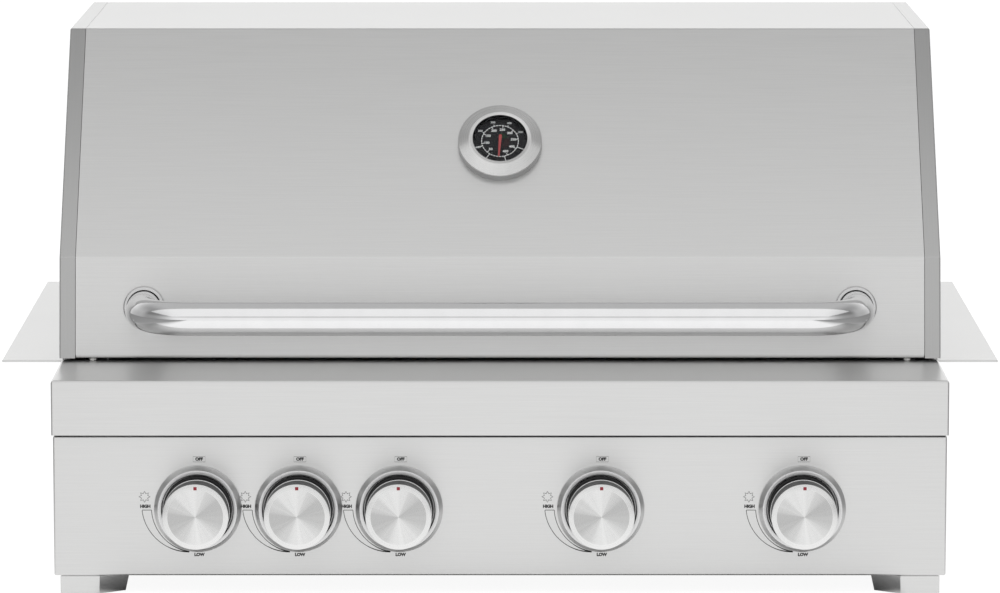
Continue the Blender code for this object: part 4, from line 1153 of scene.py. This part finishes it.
def hinge_pins():
    """Pins with a domed head outside each end cap."""
    for side, label in ((-1, "left"), (1, "right")):
        name = "hinge_pin_" + label
        low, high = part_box(name)
        head = (high.z - low.z) / 2
        tail, face = (-high.x, -low.x) if side < 0 else (low.x, high.x)
        start = face - PIN_HEAD
        path = [(0, tail), (PIN_RADIUS, tail), (PIN_RADIUS, start), (head, start), (head, face), (0, face)]
        profile = rounded(path, [*PIN_ROUNDS, PIN_HEAD * 0.7], 4)
        spot = (0, (low.y + high.y) / 2, (low.z + high.z) / 2)
        add_piece(name + "_domed", turned(profile, 40), rod_steel, "root", [name],
                  spot=spot, turn=(0, side * math.pi / 2, 0))


def sheet_parts():
    """The body's and the hood's plainer sheet parts, with rounded bends."""
    for name in ("side_panel_left", "side_panel_right", "rear_panel", "grease_tray", "hood_liner"):
        softened(name, side_steel)
    softened("counter_flange", sheet_steel)
    for name in ["firebox"] + ["flame_tamer_%d" % index for index in range(1, 5)]:
        softened(name, firebox_steel)


def dress_nodes():
    """Give every CAD node that still shows its finish."""
    finishes = {"burner": burner_steel, "gas_manifold": side_steel, "valve": valve_brass}
    for name, item in frame["nodes"].items():
        for start, finish in finishes.items():
            if name.startswith(start):
                item.data.materials.clear()
                item.data.materials.append(finish)


# The studio

def floor():
    """White to the eye, greyer in metal, and with a painted shadow where the body stands over it: there the
    floor glows less in metal, in place of the body's shade.
    """
    made, shader = new_material("floor_white", (FLOOR_GREY,) * 3, 0.9, 0.0)
    path = add_node(made, "LightPath").outputs
    spot = add_node(made, "TexCoord")
    parts = add_node(made, "SeparateXYZ", {0: spot.outputs["Object"]}).outputs
    away = [maths(made, "ABSOLUTE", parts[axis]) for axis in "XY"]
    # Painted shadow: within a soft box under the body the floor's glow in metal fades out, standing in for
    # the shade that the body casts.
    under = [mapped(made, far, reach - SHADE_FADE, reach + SHADE_FADE, 1.0, 0.0)
             for far, reach in zip(away, SHADE_HALF)]
    outside_painted_shadow = maths(made, "SUBTRACT", 1.0, maths(made, "MULTIPLY", *under))
    opened = maths(made, "MULTIPLY_ADD", parts["Y"], FLOOR_OPENING, away[0])
    dim = mapped(made, opened, FLOOR_SIDE_NEAR, FLOOR_SIDE_FAR, 1.0, FLOOR_SIDES)
    seen = maths(made, "MAXIMUM", path["Is Camera Ray"], path["Is Transmission Ray"])
    plain = maths(made, "MULTIPLY", seen, FLOOR_GLOW)
    mirrored = maths(made, "MULTIPLY", path["Is Glossy Ray"], FLOOR_MIRRORED)
    mirrored = maths(made, "MULTIPLY", maths(made, "MULTIPLY", mirrored, outside_painted_shadow), dim)
    shader.inputs["Emission Color"].default_value = (1, 1, 1, 1)
    shader.inputs["Specular IOR Level"].default_value = 0.0
    feed(shader, "Emission Strength", maths(made, "ADD", plain, mirrored))
    bm = bmesh.new()
    box(bm, (-FLOOR_REACH, -FLOOR_REACH, -FLOOR_THICKNESS), (FLOOR_REACH, FLOOR_REACH, 0))
    item = new_object("floor", bm, made)
    item.location = (0, 0, -GAP)


def world():
    """White to the eye. Metal sees a studio that is dimmer overhead and at its sides."""
    made = bpy.data.worlds.new("studio")
    made.use_nodes = True
    made.node_tree.nodes.clear()
    path = add_node(made, "LightPath").outputs
    spot = add_node(made, "TexCoord")
    parts = add_node(made, "SeparateXYZ", {0: spot.outputs["Generated"]}).outputs

    def fade(value, span, first, last):
        return mapped(made, value, *span, first, last, interpolation_type="SMOOTHSTEP")

    def mix(share, first, last):
        return add_node(made, "Mix", {0: share, 2: first, 3: last}).outputs[0]

    front = fade(parts["Z"], SKY_FRONT_SPAN, SKY_FRONT_LOW, SKY_HIGH)
    back = fade(parts["Z"], SKY_BACK_SPAN, SKY_BACK_LOW, SKY_HIGH)
    behind = fade(parts["Y"], SKY_BEHIND_SPAN, 0.0, 1.0)
    dim = fade(maths(made, "ABSOLUTE", parts["X"]), SKY_SIDE_SPAN, 1.0, SKY_SIDES)
    sky = maths(made, "MULTIPLY", mix(behind, front, back), dim)
    seen = maths(made, "MAXIMUM", path["Is Camera Ray"], path["Is Transmission Ray"])
    strength = mix(seen, mix(path["Is Glossy Ray"], SKY_PLAIN, sky), 1.0)
    light = add_node(made, "Background", {"Color": (1, 1, 1, 1), "Strength": strength})
    add_node(made, "OutputWorld", {"Surface": light.outputs[0]})
    bpy.context.scene.world = made


def softbox(name, spot, target, size, radiance, in_metal):
    """A soft area light; one that isn't in metal lights only what isn't glossy."""
    light = bpy.data.lights.new(name, "AREA")
    light.shape = "RECTANGLE"
    light.size, light.size_y = size
    light.energy = radiance * math.pi * size[0] * size[1]
    item = bpy.data.objects.new(name, light)
    item.location = spot
    item.rotation_euler = (Vector(target) - Vector(spot)).to_track_quat("-Z", "Y").to_euler()
    item.visible_glossy = in_metal
    item.visible_camera = False
    item.visible_transmission = False
    bpy.context.scene.collection.objects.link(item)


def camera():
    item = bpy.data.objects.new("camera", bpy.data.cameras.new("camera"))
    item.location = CAMERA_PLACE
    item.rotation_euler = (math.radians(90 - CAMERA_PITCH_DEG), 0, 0)
    item.data.lens = CAMERA_LENS
    item.data.sensor_width = CAMERA_SENSOR
    item.data.clip_end = 100
    bpy.context.scene.collection.objects.link(item)
    bpy.context.scene.camera = item
    bpy.context.scene.view_settings.view_transform = "Standard"


camera()
floor()
world()
for lamp in SOFTBOXES:
    softbox(*lamp)

dress_nodes()
sheet_parts()
feet()
rear_burner()
hinge_pins()
hood_shell()
hood_end_caps()
hood_bumpers()
hood_handle()
handle_rosettes()
gauge_case()
gauge_dial()
dial_print()
gauge_pointer()
gauge_lens()
front_ledge()
control_panel()
for index in range(1, 6):
    knob_bezel(index)
    knob(index)
knob_print()
for label in ("left", "middle", "right"):
    cooking_grate("cooking_grate_" + label)
warming_rack()
